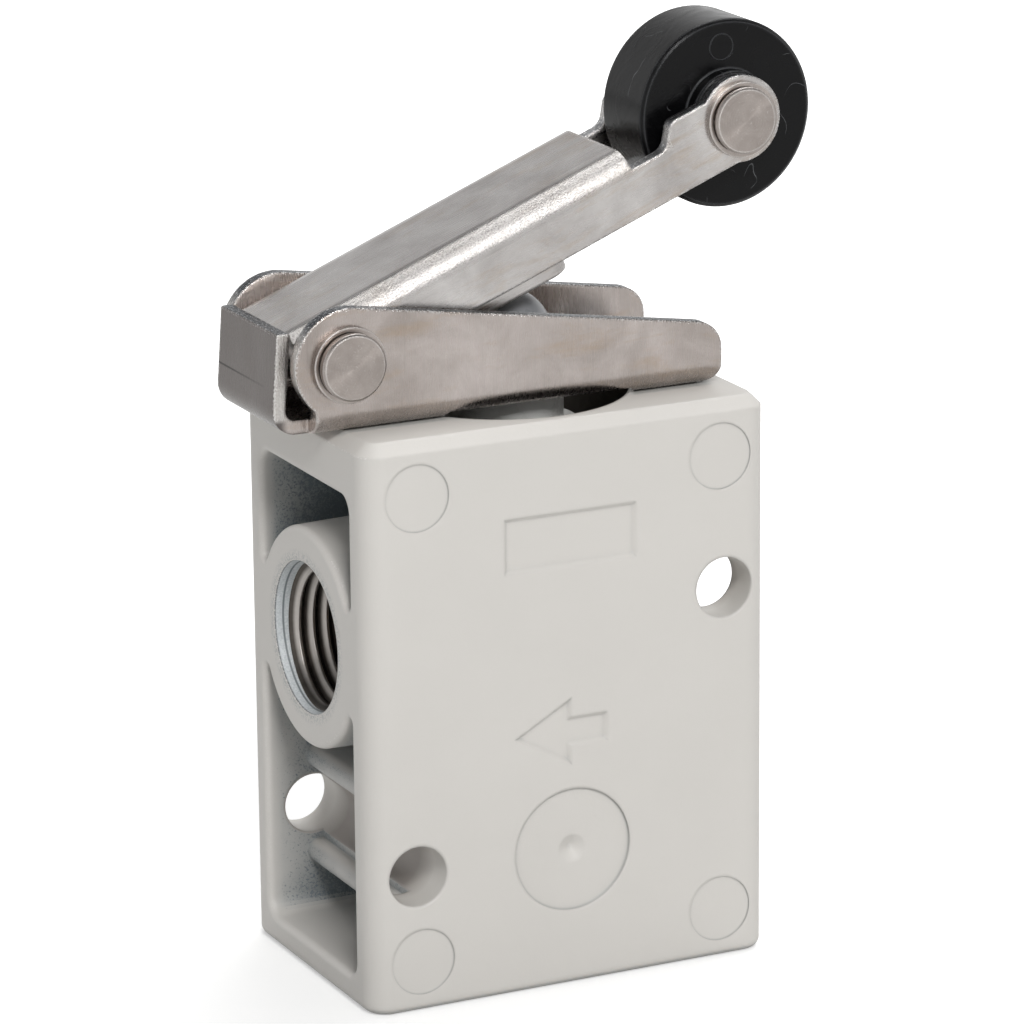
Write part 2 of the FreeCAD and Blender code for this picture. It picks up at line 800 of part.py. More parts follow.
def web_hole():
    """Round hole over the counterbore, cut off square to the sheet part way up both bends."""
    bend_y = half_bracket - bracket_bend_radius
    bend_z = body_height + bracket_bend_radius
    side_y = bend_y + bracket_bend_radius * math.tan(math.radians(web_hole_bend))
    low = body_height - cut_overlap
    section = [
        (-bend_y, bend_z, 0),
        (-side_y, body_height, 0),
        (-side_y, low, 0),
        (side_y, low, 0),
        (side_y, body_height, 0),
        (bend_y, bend_z, 0),
    ]
    slot = prism(section, "yz", -half_width, half_width)
    return slot.common(rod(web_hole_radius, low, bend_z, UP))


def lever_bracket():
    """Bent sheet channel with ears, a large web hole and the stop tab."""
    left = hinge_x - ear_radius
    height = ear_radius * 2 + hinge_z - body_height
    sides = channel(bracket_width, height, bracket_bend_radius, left, bracket_right_end)
    bracket = moved(sides, 0, 0, body_height).common(bracket_side())
    bracket = bracket.fuse(stop_tab())
    bracket = bracket.cut(web_hole())
    low = body_height - cut_overlap
    for x in (screw_left_x, screw_right_x):
        hole = rod(screw_radius + side_play, low, bracket_floor + cut_overlap, UP, Vector(x, 0, 0))
        bracket = bracket.cut(hole)
    return hinge_hole(bracket, pin_radius + close_fit).removeSplitter()


def headed_pin(half_grip, head_height):
    """Turned pin along Y with a flanged, grooved head in front and a clip groove behind."""
    base = -half_grip
    face = base - head_height
    flange = base - pin_flange_thickness
    tip = half_grip + pin_tail
    groove = half_grip + side_play / 2
    points = [
        (0, face),
        (pin_face_radius - pin_face_bevel, face),
        (pin_face_radius, face + pin_face_bevel),
        (pin_face_radius, flange - pin_neck_width),
        (pin_neck_radius, flange - pin_neck_width),
        (pin_neck_radius, flange),
        (pin_flange_radius, flange),
        (pin_flange_radius, base),
        (pin_radius, base),
        (pin_radius, groove),
        (clip_groove_radius, groove),
        (clip_groove_radius, groove + clip_slot),
        (pin_radius, groove + clip_slot),
        (pin_radius, tip - pin_tip_bevel),
        (pin_radius - pin_tip_bevel, tip),
        (0, tip),
    ]
    return front_to_back(turned(points))


def pin_clip(half_grip):
    """E-shaped clip across a pin groove, its opening turned downwards."""
    start = half_grip + side_play
    end = start + clip_thickness
    inner = clip_radius - clip_ring_width
    band = rod(clip_radius, start, end, BACK).cut(rod(inner, start, end, BACK))
    prongs = []
    half = clip_prong_width / 2
    for angle in (0, -90, -180):
        prong = box(clip_groove_radius / 2, start, -half, inner + clip_prong_overlap, end, half)
        prong.rotate(ORIGIN, BACK, angle)
        prongs.append(prong)
    opening = box(-clip_opening / 2, start, -clip_radius, clip_opening / 2, end, 0)
    clip = band.cut(opening).multiFuse(prongs)
    return clip.cut(rod(clip_groove_radius + close_fit, start, end, BACK)).removeSplitter()


def bracket_screw(x):
    """Pan head screw with a cross recess that holds the bracket on the body."""
    top = bracket_floor + screw_head_height
    head = rod(screw_head_radius, bracket_floor, top, UP)
    head = head.makeFillet(screw_head_rounding, edges_above(head, top))
    shank = rod(screw_radius - close_fit, bracket_floor - screw_length + side_play, bracket_floor, UP)
    long_side = screw_recess_length / 2
    short_side = screw_recess_width / 2
    low = top - screw_recess_depth
    cross = box(-long_side, -short_side, low, long_side, short_side, top + cut_overlap)
    cross = cross.fuse(box(-short_side, -long_side, low, short_side, long_side, top + cut_overlap))
    return moved(head.fuse(shank).cut(cross), x, 0, 0)


# Lever and roller
def flange_side():
    """Side view of the lever flanges and fork arms, in the lever's own directions."""
    arm = [
        (flange_knee, lever_edge, flange_knee_radius),
        (roller_s, lever_edge, 0),
        (roller_s, arm_top, 0),
        (notch_step, arm_top, notch_step_radius),
        (notch_step - notch_step_lean, notch_bottom, notch_corner_radius),
        (notch_start, notch_bottom, 0),
        (notch_start, lever_top, 0),
        (lever_left_end, lever_top, 0),
        (lever_left_end, 0, 0),
        (0, -hinge_end_radius, 0),
        (flange_knee - flange_knee_reach, -hinge_end_radius, flange_knee_radius),
    ]
    side = prism(arm, "xz", -half_lever, half_lever)
    hinge_end = rod(hinge_end_radius, -half_lever, half_lever, BACK)
    arm_end = rod(arm_end_radius, -half_lever, half_lever, BACK, Vector(roller_s, 0, roller_n))
    return side.multiFuse([hinge_end, arm_end])


def lever_channel():
    """Inverted channel from the stop end to the web's right end."""
    height = lever_top - lever_edge + hinge_end_radius
    shape = channel(lever_width, height, lever_bend_radius, lever_left_end, lever_web_end)
    shape = shape.mirror(ORIGIN, UP)
    return moved(shape, 0, 0, lever_top)


def fork_arms():
    """The two flange plates over the lever's whole length, below the bends."""
    plate_top = lever_top - lever_bend_radius
    reach = roller_s + arm_end_radius
    arms = []
    for low in (-half_lever, half_lever - sheet):
        lower = box(-hinge_end_radius, low, -hinge_end_radius, reach, low + sheet, plate_top)
        upper = box(lever_web_end, low, plate_top, reach, low + sheet, roller_n + arm_end_radius)
        arms.append(lower.fuse(upper))
    return arms[0].fuse(arms[1])


def presser_plate():
    """Far flange carried down and bent under the channel to press the plunger."""
    top = presser_bottom + sheet
    bend = bracket_bend_radius
    section = [
        (half_lever, 0, 0),
        (half_lever, presser_bottom, bend),
        (presser_near_edge, presser_bottom, 0),
        (presser_near_edge, top, 0),
        (half_lever - sheet, top, bend - sheet),
        (half_lever - sheet, 0, 0),
    ]
    plan = [
        (presser_start, presser_near_edge, presser_corner_radius),
        (presser_end, presser_near_edge, presser_corner_radius),
        (presser_end, half_lever, 0),
        (presser_start, half_lever, 0),
    ]
    strip = prism(section, "yz", presser_start, presser_end)
    return strip.common(prism(plan, "xy", presser_bottom, cut_overlap))


def lever():
    """Folded sheet lever: channel, forked roller end, presser plate and two pin holes."""
    blank = lever_channel().fuse(fork_arms()).common(flange_side())
    room = box(presser_start, 0, -half_lever, presser_end, half_lever, presser_bottom + bracket_bend_radius)
    blank = blank.cut(room).fuse(presser_plate())
    hinge_bore = rod(pin_radius + running_fit, -lever_width, lever_width, BACK)
    roller_axis = Vector(roller_s, 0, roller_n)
    roller_bore = rod(pin_radius + close_fit, -lever_width, lever_width, BACK, roller_axis)
    blank = blank.cut([hinge_bore, roller_bore])
    return on_lever(blank.removeSplitter())


def roller():
    """Plastic roller with a hub boss on each side."""
    face = roller_width / 2
    hub = half_lever - sheet - side_play
    bore = pin_radius + running_fit
    rim = roller_rim_bevel
    points = [
        (bore, -hub),
        (roller_hub_radius - roller_hub_edge, -hub),
        (roller_hub_radius, roller_hub_edge - hub),
        (roller_hub_radius, -face),
        (roller_radius - rim, -face),
        (roller_radius, rim - face),
        (roller_radius, face - rim),
        (roller_radius - rim, face),
        (roller_hub_radius, face),
        (roller_hub_radius, hub - roller_hub_edge),
        (roller_hub_radius - roller_hub_edge, hub),
        (bore, hub),
    ]
    return front_to_back(turned(points))


def at_roller(shape):
    x, z = lever_point(roller_s, roller_n)
    return moved(shape, x, 0, z)


def at_hinge(shape):
    return moved(shape, hinge_x, 0, hinge_z)


# All parts
def build_parts():
    seal_centre = main_bore_radius - seal_section_radius
    stem_seal_centre = stem_radius + stem_seal_section_radius
    return {
        "valve_body": valve_body(),
        "valve_seat": valve_seat(),
        "seat_seal": ring(seal_section_radius - close_fit, seal_centre, seat_seal_z),
        "poppet": poppet(),
        "poppet_seal": poppet_seal(),
        "poppet_spring": coil(poppet_spring_radius, lower_bore_floor, poppet_cup_roof),
        "plunger_guide": plunger_guide(),
        "guide_seal": ring(seal_section_radius - close_fit, seal_centre, guide_seal_z),
        "stem_seal": ring(stem_seal_section_radius - close_fit, stem_seal_centre, guide_seal_z),
        "guide_ring": guide_ring(),
        "plunger": plunger(),
        "plunger_spring": coil(plunger_spring_radius, guide_chamber_floor, plunger_cup_roof),
        "lever_bracket": lever_bracket(),
        "bracket_screw_left": bracket_screw(screw_left_x),
        "bracket_screw_right": bracket_screw(screw_right_x),
        "hinge_pin": at_hinge(headed_pin(half_bracket, hinge_pin_head_height)),
        "hinge_pin_clip": at_hinge(pin_clip(half_bracket)),
        "lever": lever(),
        "roller": at_roller(roller()),
        "roller_pin": at_roller(headed_pin(half_lever, roller_pin_head_height)),
        "roller_pin_clip": at_roller(pin_clip(half_lever)),
    }


os.makedirs("parts", exist_ok=True)
for name, shape in build_parts().items():
    shape.exportStep("parts/" + name + ".step")
    print(name, "solids", len(shape.Solids), "valid", shape.isValid(), "volume", round(shape.Volume, 1))
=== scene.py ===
# %% [markdown]
# # Roller lever air valve
# A small air valve that a machine part works by pushing a roller. The hard shapes come from the
# imported CAD model, which is loaded first and never changed. This script adds what CAD leaves out:
# the threads in the ports, the moulding mark of the roller, wound springs, and every surface finish.
# All lengths are metres, in the CAD model's own frame: Z up, X towards the roller, Y to the back.

# %% Load the frame
import json
import math
from types import SimpleNamespace

import bmesh
import bpy
from mathutils import Matrix, Vector


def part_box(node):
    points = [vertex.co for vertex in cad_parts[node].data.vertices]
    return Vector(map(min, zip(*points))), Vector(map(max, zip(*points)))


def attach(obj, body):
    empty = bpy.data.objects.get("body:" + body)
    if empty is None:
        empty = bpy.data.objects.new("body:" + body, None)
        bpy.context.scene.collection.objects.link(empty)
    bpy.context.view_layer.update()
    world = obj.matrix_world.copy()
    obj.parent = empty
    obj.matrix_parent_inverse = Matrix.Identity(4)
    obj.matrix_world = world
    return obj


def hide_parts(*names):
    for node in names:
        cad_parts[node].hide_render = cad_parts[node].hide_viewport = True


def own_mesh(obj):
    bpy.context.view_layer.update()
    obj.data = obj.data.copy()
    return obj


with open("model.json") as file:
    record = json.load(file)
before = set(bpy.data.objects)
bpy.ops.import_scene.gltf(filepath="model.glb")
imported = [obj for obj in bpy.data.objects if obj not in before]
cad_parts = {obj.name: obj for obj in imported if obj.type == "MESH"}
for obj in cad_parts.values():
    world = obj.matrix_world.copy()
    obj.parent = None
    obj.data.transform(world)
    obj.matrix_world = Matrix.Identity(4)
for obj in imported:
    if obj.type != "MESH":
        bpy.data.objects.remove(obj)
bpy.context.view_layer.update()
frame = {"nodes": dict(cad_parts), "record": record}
nodes = frame["nodes"]
MM = 0.001

# %% [markdown]
# ## Places read from the frame
# Finishes and added pieces need a few places on the valve: its side faces, the hinge and roller
# axes, and the ports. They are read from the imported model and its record, so they follow it.

# %% Places
body_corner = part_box("valve_body")[1]
half_width = body_corner.x
body_top = body_corner.z
mounts = {mount["name"]: mount for mount in frame["record"]["mounts"]}
outlet_z = mounts["outlet_port"]["pos_m"][2]
inlet_z = mounts["inlet_port"]["pos_m"][2]
ports_middle_z = (outlet_z + inlet_z) / 2
port_radius = mounts["outlet_port"]["dims"]["r_mm"] * MM


def middle_of(node):
    """Middle of a node's box."""
    low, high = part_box(node)
    return (low + high) / 2


hinge = middle_of("hinge_pin")
roller_axis = middle_of("roller")
print("half width", round(half_width, 4), "ports at", outlet_z, inlet_z)
print("hinge", [round(c, 4) for c in hinge], "roller", [round(c, 4) for c in roller_axis])

# %% [markdown]
# ## Camera
# The photograph was taken from the front left and a little above, with a long lens: the body's
# upright edges stay nearly parallel. Its angles were worked out from the body's corners and holes.
# A camera looks along its own -Z, so its three axes are the columns of its matrix.

# %% Camera
photo_pixels = 1024
sensor_width = 36.0
focal_pixels = 5402.1
camera_yaw = math.radians(25.94)        # how far the view turns from straight on towards the left side
camera_tilt = math.radians(15.96)       # how far it looks down
camera_roll = math.radians(-0.546)
camera_distance = 479.86 * MM
view_centre = Vector((0.5, -2.5, 26.0)) * MM
frame_shift = Vector((-1.063, 14.092)) * MM

ahead = Vector((
    math.sin(camera_yaw) * math.cos(camera_tilt),
    math.cos(camera_yaw) * math.cos(camera_tilt),
    -math.sin(camera_tilt),
))
level_right = Vector((math.cos(camera_yaw), -math.sin(camera_yaw), 0.0))
level_up = level_right.cross(ahead)
right = level_right * math.cos(camera_roll) + level_up * math.sin(camera_roll)
up = right.cross(ahead)
eye = view_centre - ahead * camera_distance + right * frame_shift.x + up * frame_shift.y

camera_data = bpy.data.cameras.new("photo_camera")
camera_data.sensor_width = sensor_width
camera_data.lens = focal_pixels / photo_pixels * sensor_width
camera_data.clip_end = 10.0
camera = bpy.data.objects.new("photo_camera", camera_data)
bpy.context.scene.collection.objects.link(camera)
camera.matrix_world = Matrix((right, up, -ahead)).transposed().to_4x4()
camera.location = eye
bpy.context.scene.camera = camera
print("camera at", [round(c, 4) for c in eye], "lens", round(camera_data.lens, 1), "mm")

# %% [markdown]
# ## Colours and nodes
# Colours are written as the sRGB hex values that a picture editor shows, and one function turns
# them into the linear values that the shader works with. One more function adds a node, so that
# each material below reads as a short list of steps.

# %% Helpers for colours and nodes
def linear(hex_colour):
    """sRGB hex such as "C8C5C0" to a linear RGBA tuple."""
    channels = []
    for start in (0, 2, 4):
        value = int(hex_colour[start:start + 2], 16) / 255
        channels.append(value / 12.92 if value <= 0.04045 else ((value + 0.055) / 1.055) ** 2.4)
    return (*channels, 1.0)


def add_node(tree, kind, sockets=None, **settings):
    """Adds a node, sets its properties, and fills its sockets with values or other nodes' outputs."""
    node = tree.nodes.new(kind)
    for name, value in settings.items():
        setattr(node, name, value)
    for key, value in (sockets or {}).items():
        socket = node.inputs[key]
        if isinstance(value, bpy.types.NodeSocket):
            tree.links.new(value, socket)
        else:
            socket.default_value = value
    return node


def new_finish(name, **sockets):
    """A material with its Principled shader's own sockets set. Returns (material, tree, shader, place)."""
    material = bpy.data.materials.new(name)
    material.use_nodes = True
    tree = material.node_tree
    shader = tree.nodes["Principled BSDF"]
    for key, value in sockets.items():
        shader.inputs[key.replace("_", " ")].default_value = value
    place = add_node(tree, "ShaderNodeTexCoord")
    return material, tree, shader, place


def link(tree, output, shader, socket):
    """Feeds one of the shader's sockets from a node."""
    tree.links.new(output, shader.inputs[socket])


def give_finish(material, *names):
    """Puts one finish on CAD nodes by name."""
    for name in names:
        slots = nodes[name].data.materials
        slots.clear()
        slots.append(material)


print("middle grey 808080 is", round(linear("808080")[0], 3), "in linear light")

# %% [markdown]
# ## Floor, backdrop and studio light
# The photograph is a product shot on pure white, under large soft lamps. The floor is a plain pale
# disc. The world is white to the camera, and to metal that mirrors the sweep of white backdrop
# behind and below; higher up metal mirrors the dimmer studio. That difference is what makes the
# lever's web darker than its flange.

# %% Floor
floor_radius = 3.0
shadow_reach = 0.05                     # within this distance the glow is low, so that the shadow stays
white_from = 0.3                        # from here on the floor is pure white to the camera
glow_near_valve = 0.42
glow_in_metal = 0.3                     # how bright metal mirrors the floor

floor_mesh = bpy.data.meshes.new("floor")
floor_shape = bmesh.new()
bmesh.ops.create_circle(floor_shape, cap_ends=True, segments=96, radius=floor_radius)
floor_shape.to_mesh(floor_mesh)
floor_shape.free()
floor = bpy.data.objects.new("floor", floor_mesh)
bpy.context.scene.collection.objects.link(floor)

floor_paint, tree, shader, place = new_finish(
    "pale_floor", Base_Color=linear("D2D2D1"), Roughness=0.9, Specular_IOR_Level=0.1,
    Emission_Color=(1.0, 1.0, 1.0, 1.0))
paths = add_node(tree, "ShaderNodeLightPath")
seen = add_node(tree, "ShaderNodeMath", {
    0: paths.outputs["Is Camera Ray"], 1: paths.outputs["Is Transmission Ray"]}, operation="MAXIMUM")
in_metal = add_node(tree, "ShaderNodeMath", {
    0: paths.outputs["Is Glossy Ray"], 1: glow_in_metal}, operation="MULTIPLY")
mirrored = add_node(tree, "ShaderNodeMath", {
    0: seen.outputs[0], 1: in_metal.outputs[0]}, operation="MAXIMUM")
from_middle = add_node(tree, "ShaderNodeVectorMath", {0: place.outputs["Object"]}, operation="LENGTH")
lift = add_node(tree, "ShaderNodeMapRange", {
    "Value": from_middle.outputs["Value"], "From Min": shadow_reach, "From Max": white_from,
    "To Min": glow_near_valve, "To Max": 1.0})
strength = add_node(tree, "ShaderNodeMath", {
    0: mirrored.outputs[0], 1: lift.outputs[0]}, operation="MULTIPLY")
link(tree, strength.outputs[0], shader, "Emission Strength")
floor_mesh.materials.append(floor_paint)
print("floor radius", floor_radius, "m")

# %% [markdown]
# The world holds the white backdrop and the studio. Heights here are the sine of the angle above
# level, which is what the Z of a direction is. In a mirror image the room between the lamps is
# nearly dark, so it is dimmer to glossy rays than to the diffuse light that it gives.

# %% World
backdrop_height = 0.25                  # where the white sweep starts to end
backdrop_fade = 0.84                    # where it has ended
studio_light = 0.5
studio_mirrored = 0.16

world = bpy.data.worlds.new("studio")
bpy.context.scene.world = world
world.use_nodes = True
tree = world.node_tree
paths = add_node(tree, "ShaderNodeLightPath")
seen = add_node(tree, "ShaderNodeMath", {
    0: paths.outputs["Is Camera Ray"], 1: paths.outputs["Is Transmission Ray"]}, operation="MAXIMUM")
direction = add_node(tree, "ShaderNodeTexCoord").outputs["Generated"]
height = add_node(tree, "ShaderNodeSeparateXYZ", {0: direction}).outputs["Z"]
sweep = add_node(tree, "ShaderNodeMapRange", {
    "Value": height, "From Min": backdrop_height, "From Max": backdrop_fade, "To Min": 1.0, "To Max": 0.0},
    interpolation_type="SMOOTHSTEP")
mirrored = add_node(tree, "ShaderNodeMath", {
    0: sweep.outputs[0], 1: paths.outputs["Is Glossy Ray"]}, operation="MULTIPLY")
white_share = add_node(tree, "ShaderNodeMath", {
    0: seen.outputs[0], 1: mirrored.outputs[0]}, operation="MAXIMUM")
studio = tree.nodes["Background"]
studio.inputs["Color"].default_value = linear("E6E6E7")
studio_level = add_node(tree, "ShaderNodeMapRange", {
    "Value": paths.outputs["Is Glossy Ray"], "To Min": studio_light, "To Max": studio_mirrored})
tree.links.new(studio_level.outputs[0], studio.inputs["Strength"])
backdrop = add_node(tree, "ShaderNodeBackground", {"Color": (1.0, 1.0, 1.0, 1.0), "Strength": 1.0})
blend = add_node(tree, "ShaderNodeMixShader", {
    0: white_share.outputs[0], 1: studio.outputs[0], 2: backdrop.outputs[0]})
tree.links.new(blend.outputs[0], tree.nodes["World Output"].inputs["Surface"])
bpy.context.scene.view_settings.view_transform = "Standard"
print("white sweep ends", round(math.degrees(math.asin(backdrop_fade))), "degrees up")

# %% [markdown]
# The lamps are plain: a soft key lamp at the front, high and a little to the left, as the relief
# on the front face shows, and a big one above the back right.

# %% Lamps
def soft_lamp(name, place, target, size, power):
    """A rectangular area lamp that faces a target."""
    lamp = bpy.data.lights.new(name, "AREA")
    lamp.shape = "RECTANGLE"
    lamp.size, lamp.size_y = size
    lamp.energy = power
    holder = bpy.data.objects.new(name, lamp)
    bpy.context.scene.collection.objects.link(holder)
    holder.location = place
    holder.rotation_euler = (Vector(target) - Vector(place)).to_track_quat("-Z", "Y").to_euler()


lamp_target = (0.0, 0.0, 0.04)
soft_lamp("key_lamp", (-0.16, -0.74, 0.66), lamp_target, (0.32, 0.26), 5.9)
soft_lamp("top_lamp", (0.3, 0.25, 0.8), lamp_target, (0.6, 0.6), 5.0)

# %% [markdown]
# ## Regions, coats and edges
# Most finishes below are one base tone with other tones over it in certain places. A region is a
# mask that is 1 where all its limits hold. A limit names a value, such as a distance, the side of
# an edge on which it holds, and how wide the soft border is. Coats lay tones over a base through
# such masks, as paint goes on through a stencil. The Bevel node gives a normal that is rounded
# along edges. Where it differs from the true normal, an edge is near, and that is where wear goes.

# %% Helpers for regions, coats and edges
def region(tree, *limits):
    """Mask that is 1 where every limit holds.

    A limit is (value, "<" or ">", edge, border), or a mask that was made before."""
    masks = []
    for limit in limits:
        if isinstance(limit, tuple):
            value, side, edge, border = limit
            before, after = (1.0, 0.0) if side == "<" else (0.0, 1.0)
            limit = add_node(tree, "ShaderNodeMapRange", {
                "Value": value, "From Min": edge - border / 2, "From Max": edge + border / 2,
                "To Min": before, "To Max": after}).outputs[0]
        masks.append(limit)
    result = masks[0]
    for mask in masks[1:]:
        result = add_node(tree, "ShaderNodeMath", {0: result, 1: mask}, operation="MULTIPLY").outputs[0]
    return result


def coats(tree, base, *layers):
    """Tone of a base under coats of (mask, tone), or of (mask, tone, strength)."""
    result = base
    for mask, tone, *strength in layers:
        if strength:
            mask = add_node(tree, "ShaderNodeMath", {
                0: mask, 1: strength[0]}, operation="MULTIPLY").outputs[0]
        result = add_node(tree, "ShaderNodeMix", {
            "Factor": mask, "A": result, "B": tone}, data_type="RGBA").outputs[2]
    return result


def mottled(tree, pattern, low, high):
    """Tone that wanders with a pattern between two hex colours."""
    return coats(tree, linear(low), (pattern, linear(high)))


def rounded_edges(tree, radius, samples):
    """Normal that is rounded along edges, and how closely it agrees with the true one."""
    rounded = add_node(tree, "ShaderNodeBevel", {"Radius": radius}, samples=samples).outputs[0]
    true_facing = add_node(tree, "ShaderNodeNewGeometry").outputs["True Normal"]
    agreement = add_node(tree, "ShaderNodeVectorMath", {
        0: rounded, 1: true_facing}, operation="DOT_PRODUCT")
    return rounded, agreement.outputs["Value"]


# %% [markdown]
# ## Body paint
# The body is a zinc die casting with a sprayed satin enamel in warm light grey. Enamel on a
# casting gives a soft sheen with a very fine orange peel. The spray doesn't reach the deep corners
# of the side cavities, so the film breaks up there into specks over the dark casting, and the grey
# of the deep, shielded cavity faces is also painted shade. The port mouths were masked off and got
# only a dusting, lightened as painted light, and the bores were cut after painting, so they are bare
# metal, darkened as painted shade. The mounting holes get painted shade inside. All this goes by the
# place on the body, so each mask is worked out from distances to the body's features, which needs no
# unwrapping. The distances come first. Both sides are alike but turned end for end, so one port and
# one mounting hole stand for two.

# %% Places on the casting
hole_x = 15.0 * MM                      # mounting holes, low on the left and high on the right
hole_rise = 11.0 * MM


def distance_across(tree, first, second, axes):
    """Distance in the plane of two axes, from two offsets."""
    arm = add_node(tree, "ShaderNodeCombineXYZ", {axes[0]: first, axes[1]: second})
    return add_node(tree, "ShaderNodeVectorMath", {0: arm.outputs[0]}, operation="LENGTH").outputs["Value"]


def casting_places(tree, spot):
    """Depth below the nearer side face, height, and distances from port, mounting hole and bore."""
    x, y, z = add_node(tree, "ShaderNodeSeparateXYZ", {"Vector": spot}).outputs
    reach = add_node(tree, "ShaderNodeMath", {0: x}, operation="ABSOLUTE").outputs[0]
    off_middle = add_node(tree, "ShaderNodeMath", {0: y}, operation="ABSOLUTE").outputs[0]
    depth = add_node(tree, "ShaderNodeMath", {0: half_width, 1: reach}, operation="SUBTRACT").outputs[0]
    side = add_node(tree, "ShaderNodeMath", {0: x}, operation="SIGN").outputs[0]
    port_z = add_node(tree, "ShaderNodeMath", {
        0: side, 1: (inlet_z - outlet_z) / 2, 2: ports_middle_z}, operation="MULTIPLY_ADD").outputs[0]
    hole_z = add_node(tree, "ShaderNodeMath", {
        0: side, 1: hole_rise, 2: ports_middle_z}, operation="MULTIPLY_ADD").outputs[0]
    above_port = add_node(tree, "ShaderNodeMath", {0: z, 1: port_z}, operation="SUBTRACT").outputs[0]
    above_hole = add_node(tree, "ShaderNodeMath", {0: z, 1: hole_z}, operation="SUBTRACT").outputs[0]
    beside_hole = add_node(tree, "ShaderNodeMath", {0: reach, 1: hole_x}, operation="SUBTRACT").outputs[0]
    return SimpleNamespace(
        depth=depth, off_middle=off_middle, z=z,
        from_port=distance_across(tree, y, above_port, "YZ"),
        from_hole=distance_across(tree, beside_hole, above_hole, "XZ"),
        from_bore=distance_across(tree, x, y, "XY"))


# %% [markdown]
# From these distances come the regions: the cavities, the port and its masked mouth, and the counterbore
# for the plunger, which the spray gun and the cutter treat differently, and the mounting holes, which get
# painted shade inside.

# %% Regions of the casting
sharp = 0.05 * MM                       # border of a region with a crisp edge
cavity_half_width = 9.5 * MM            # just beyond the cavity's walls, so that they are in it
cavity_bottom = 2.9 * MM
cavity_top = body_top - 5.1 * MM
cavity_border = 0.3 * MM
cavity_lip = 0.9 * MM                   # depth at which the cavity starts, over a wide border
cavity_lip_border = 1.2 * MM
port_wall = 1.0 * MM                    # the port's wall is out of the cavity
hole_radius = 2.9 * MM
hole_shade = 9.0 * MM                   # the holes are shaded this far off the body's middle plane
hole_shade_border = 3.0 * MM
mouth_radius = 6.95 * MM
mouth_lip = 0.04 * MM                   # the mouth starts this far below the boss's face
bare_from_depth = 1.45 * MM             # the masked port mouth reaches this far in
bare_radius = 6.75 * MM
counterbore_radius = 11.1 * MM
counterbore_floor = body_top - 13.6 * MM
counterbore_mouth = body_top - 0.1 * MM


def casting_regions(tree, at):
    """Masks of the thin-spray places, the mounting holes' painted shade, and the places cut after painting.
    """
    in_port = region(tree, (at.from_port, "<", bare_radius, sharp), (at.depth, ">", bare_from_depth, sharp))
    in_mouth = region(tree, (at.from_port, "<", mouth_radius, sharp), (at.depth, ">", mouth_lip, sharp))
    hole_shade_mask = region(
        tree, (at.from_hole, "<", hole_radius, sharp), (at.off_middle, "<", hole_shade, hole_shade_border))
    in_counterbore = region(
        tree, (at.from_bore, "<", counterbore_radius, sharp), (at.z, ">", counterbore_floor, sharp),
        (at.z, "<", counterbore_mouth, sharp))
    in_cavity = region(
        tree, (at.off_middle, "<", cavity_half_width, 2 * sharp),
        (at.z, ">", cavity_bottom, cavity_border), (at.z, "<", cavity_top, cavity_border),
        (at.depth, ">", cavity_lip, cavity_lip_border), (at.from_port, ">", port_radius + port_wall, sharp),
        (at.from_hole, ">", hole_radius, sharp))
    return SimpleNamespace(
        port=in_port, mouth=in_mouth, hole=hole_shade_mask, counterbore=in_counterbore, cavity=in_cavity)


# %% [markdown]
# The spray is thin where the surface lies deep and where neighbouring walls shield it, which the
# Ambient Occlusion node measures. The grey of the thin film is partly painted shade, darkest where
# the surface lies deep and shielded. A cavity's floor catches the falling mist, so it is covered
# better. Where the film is thin it breaks up: specks of the casting show wherever a fine noise
# rises above a limit, and the limit falls as the film gets thinner.

# %% Thin spray and painted shade
crevice_reach = 8.0 * MM                # how far a wall keeps the spray off its neighbour
shallow = 1.0 * MM                      # depth at which the spray starts to thin out
deepest = 9.0 * MM


def thin_spray_and_shade(tree, at, in_cavity, specks, drifts):
    """How thin the enamel is, with painted shade in deep and shielded places, and where it is broken, as
    two masks.
    """
    # the thin film's grey is partly painted shade where walls shield the face and where it lies deep
    openness = add_node(tree, "ShaderNodeAmbientOcclusion", {
        "Distance": crevice_reach}, samples=8).outputs["AO"]
    shielded = add_node(tree, "ShaderNodeMapRange", {
        "Value": openness, "From Min": 0.12, "From Max": 0.8, "To Min": 0.66, "To Max": 0.0}).outputs[0]
    deep = add_node(tree, "ShaderNodeMapRange", {
        "Value": at.depth, "From Min": shallow, "From Max": deepest,
        "To Min": 0.26, "To Max": 0.5}).outputs[0]
    uneven = add_node(tree, "ShaderNodeMath", {
        0: drifts, 1: 0.6, 2: -0.3}, operation="MULTIPLY_ADD").outputs[0]
    thinness_and_shade = add_node(tree, "ShaderNodeMath", {0: shielded, 1: deep}, operation="ADD").outputs[0]
    thinness_and_shade = add_node(tree, "ShaderNodeMath", {0: thinness_and_shade, 1: uneven}, operation="ADD", use_clamp=True)
    true_facing = add_node(tree, "ShaderNodeNewGeometry").outputs["True Normal"]
    facing_z = add_node(tree, "ShaderNodeSeparateXYZ", {0: true_facing}).outputs["Z"]
    thinness_and_shade = region(tree, thinness_and_shade.outputs[0], in_cavity, (facing_z, "<", 0.7, 0.4))
    limit = add_node(tree, "ShaderNodeMath", {
        0: thinness_and_shade, 1: -0.42, 2: 0.81}, operation="MULTIPLY_ADD").outputs[0]
    over = add_node(tree, "ShaderNodeMath", {0: specks, 1: limit}, operation="SUBTRACT").outputs[0]
    broken = add_node(tree, "ShaderNodeMapRange", {
        "Value": over, "From Min": -0.04, "From Max": 0.06, "To Min": 0.0, "To Max": 0.85}).outputs[0]
    return thinness_and_shade, region(tree, broken, in_cavity)
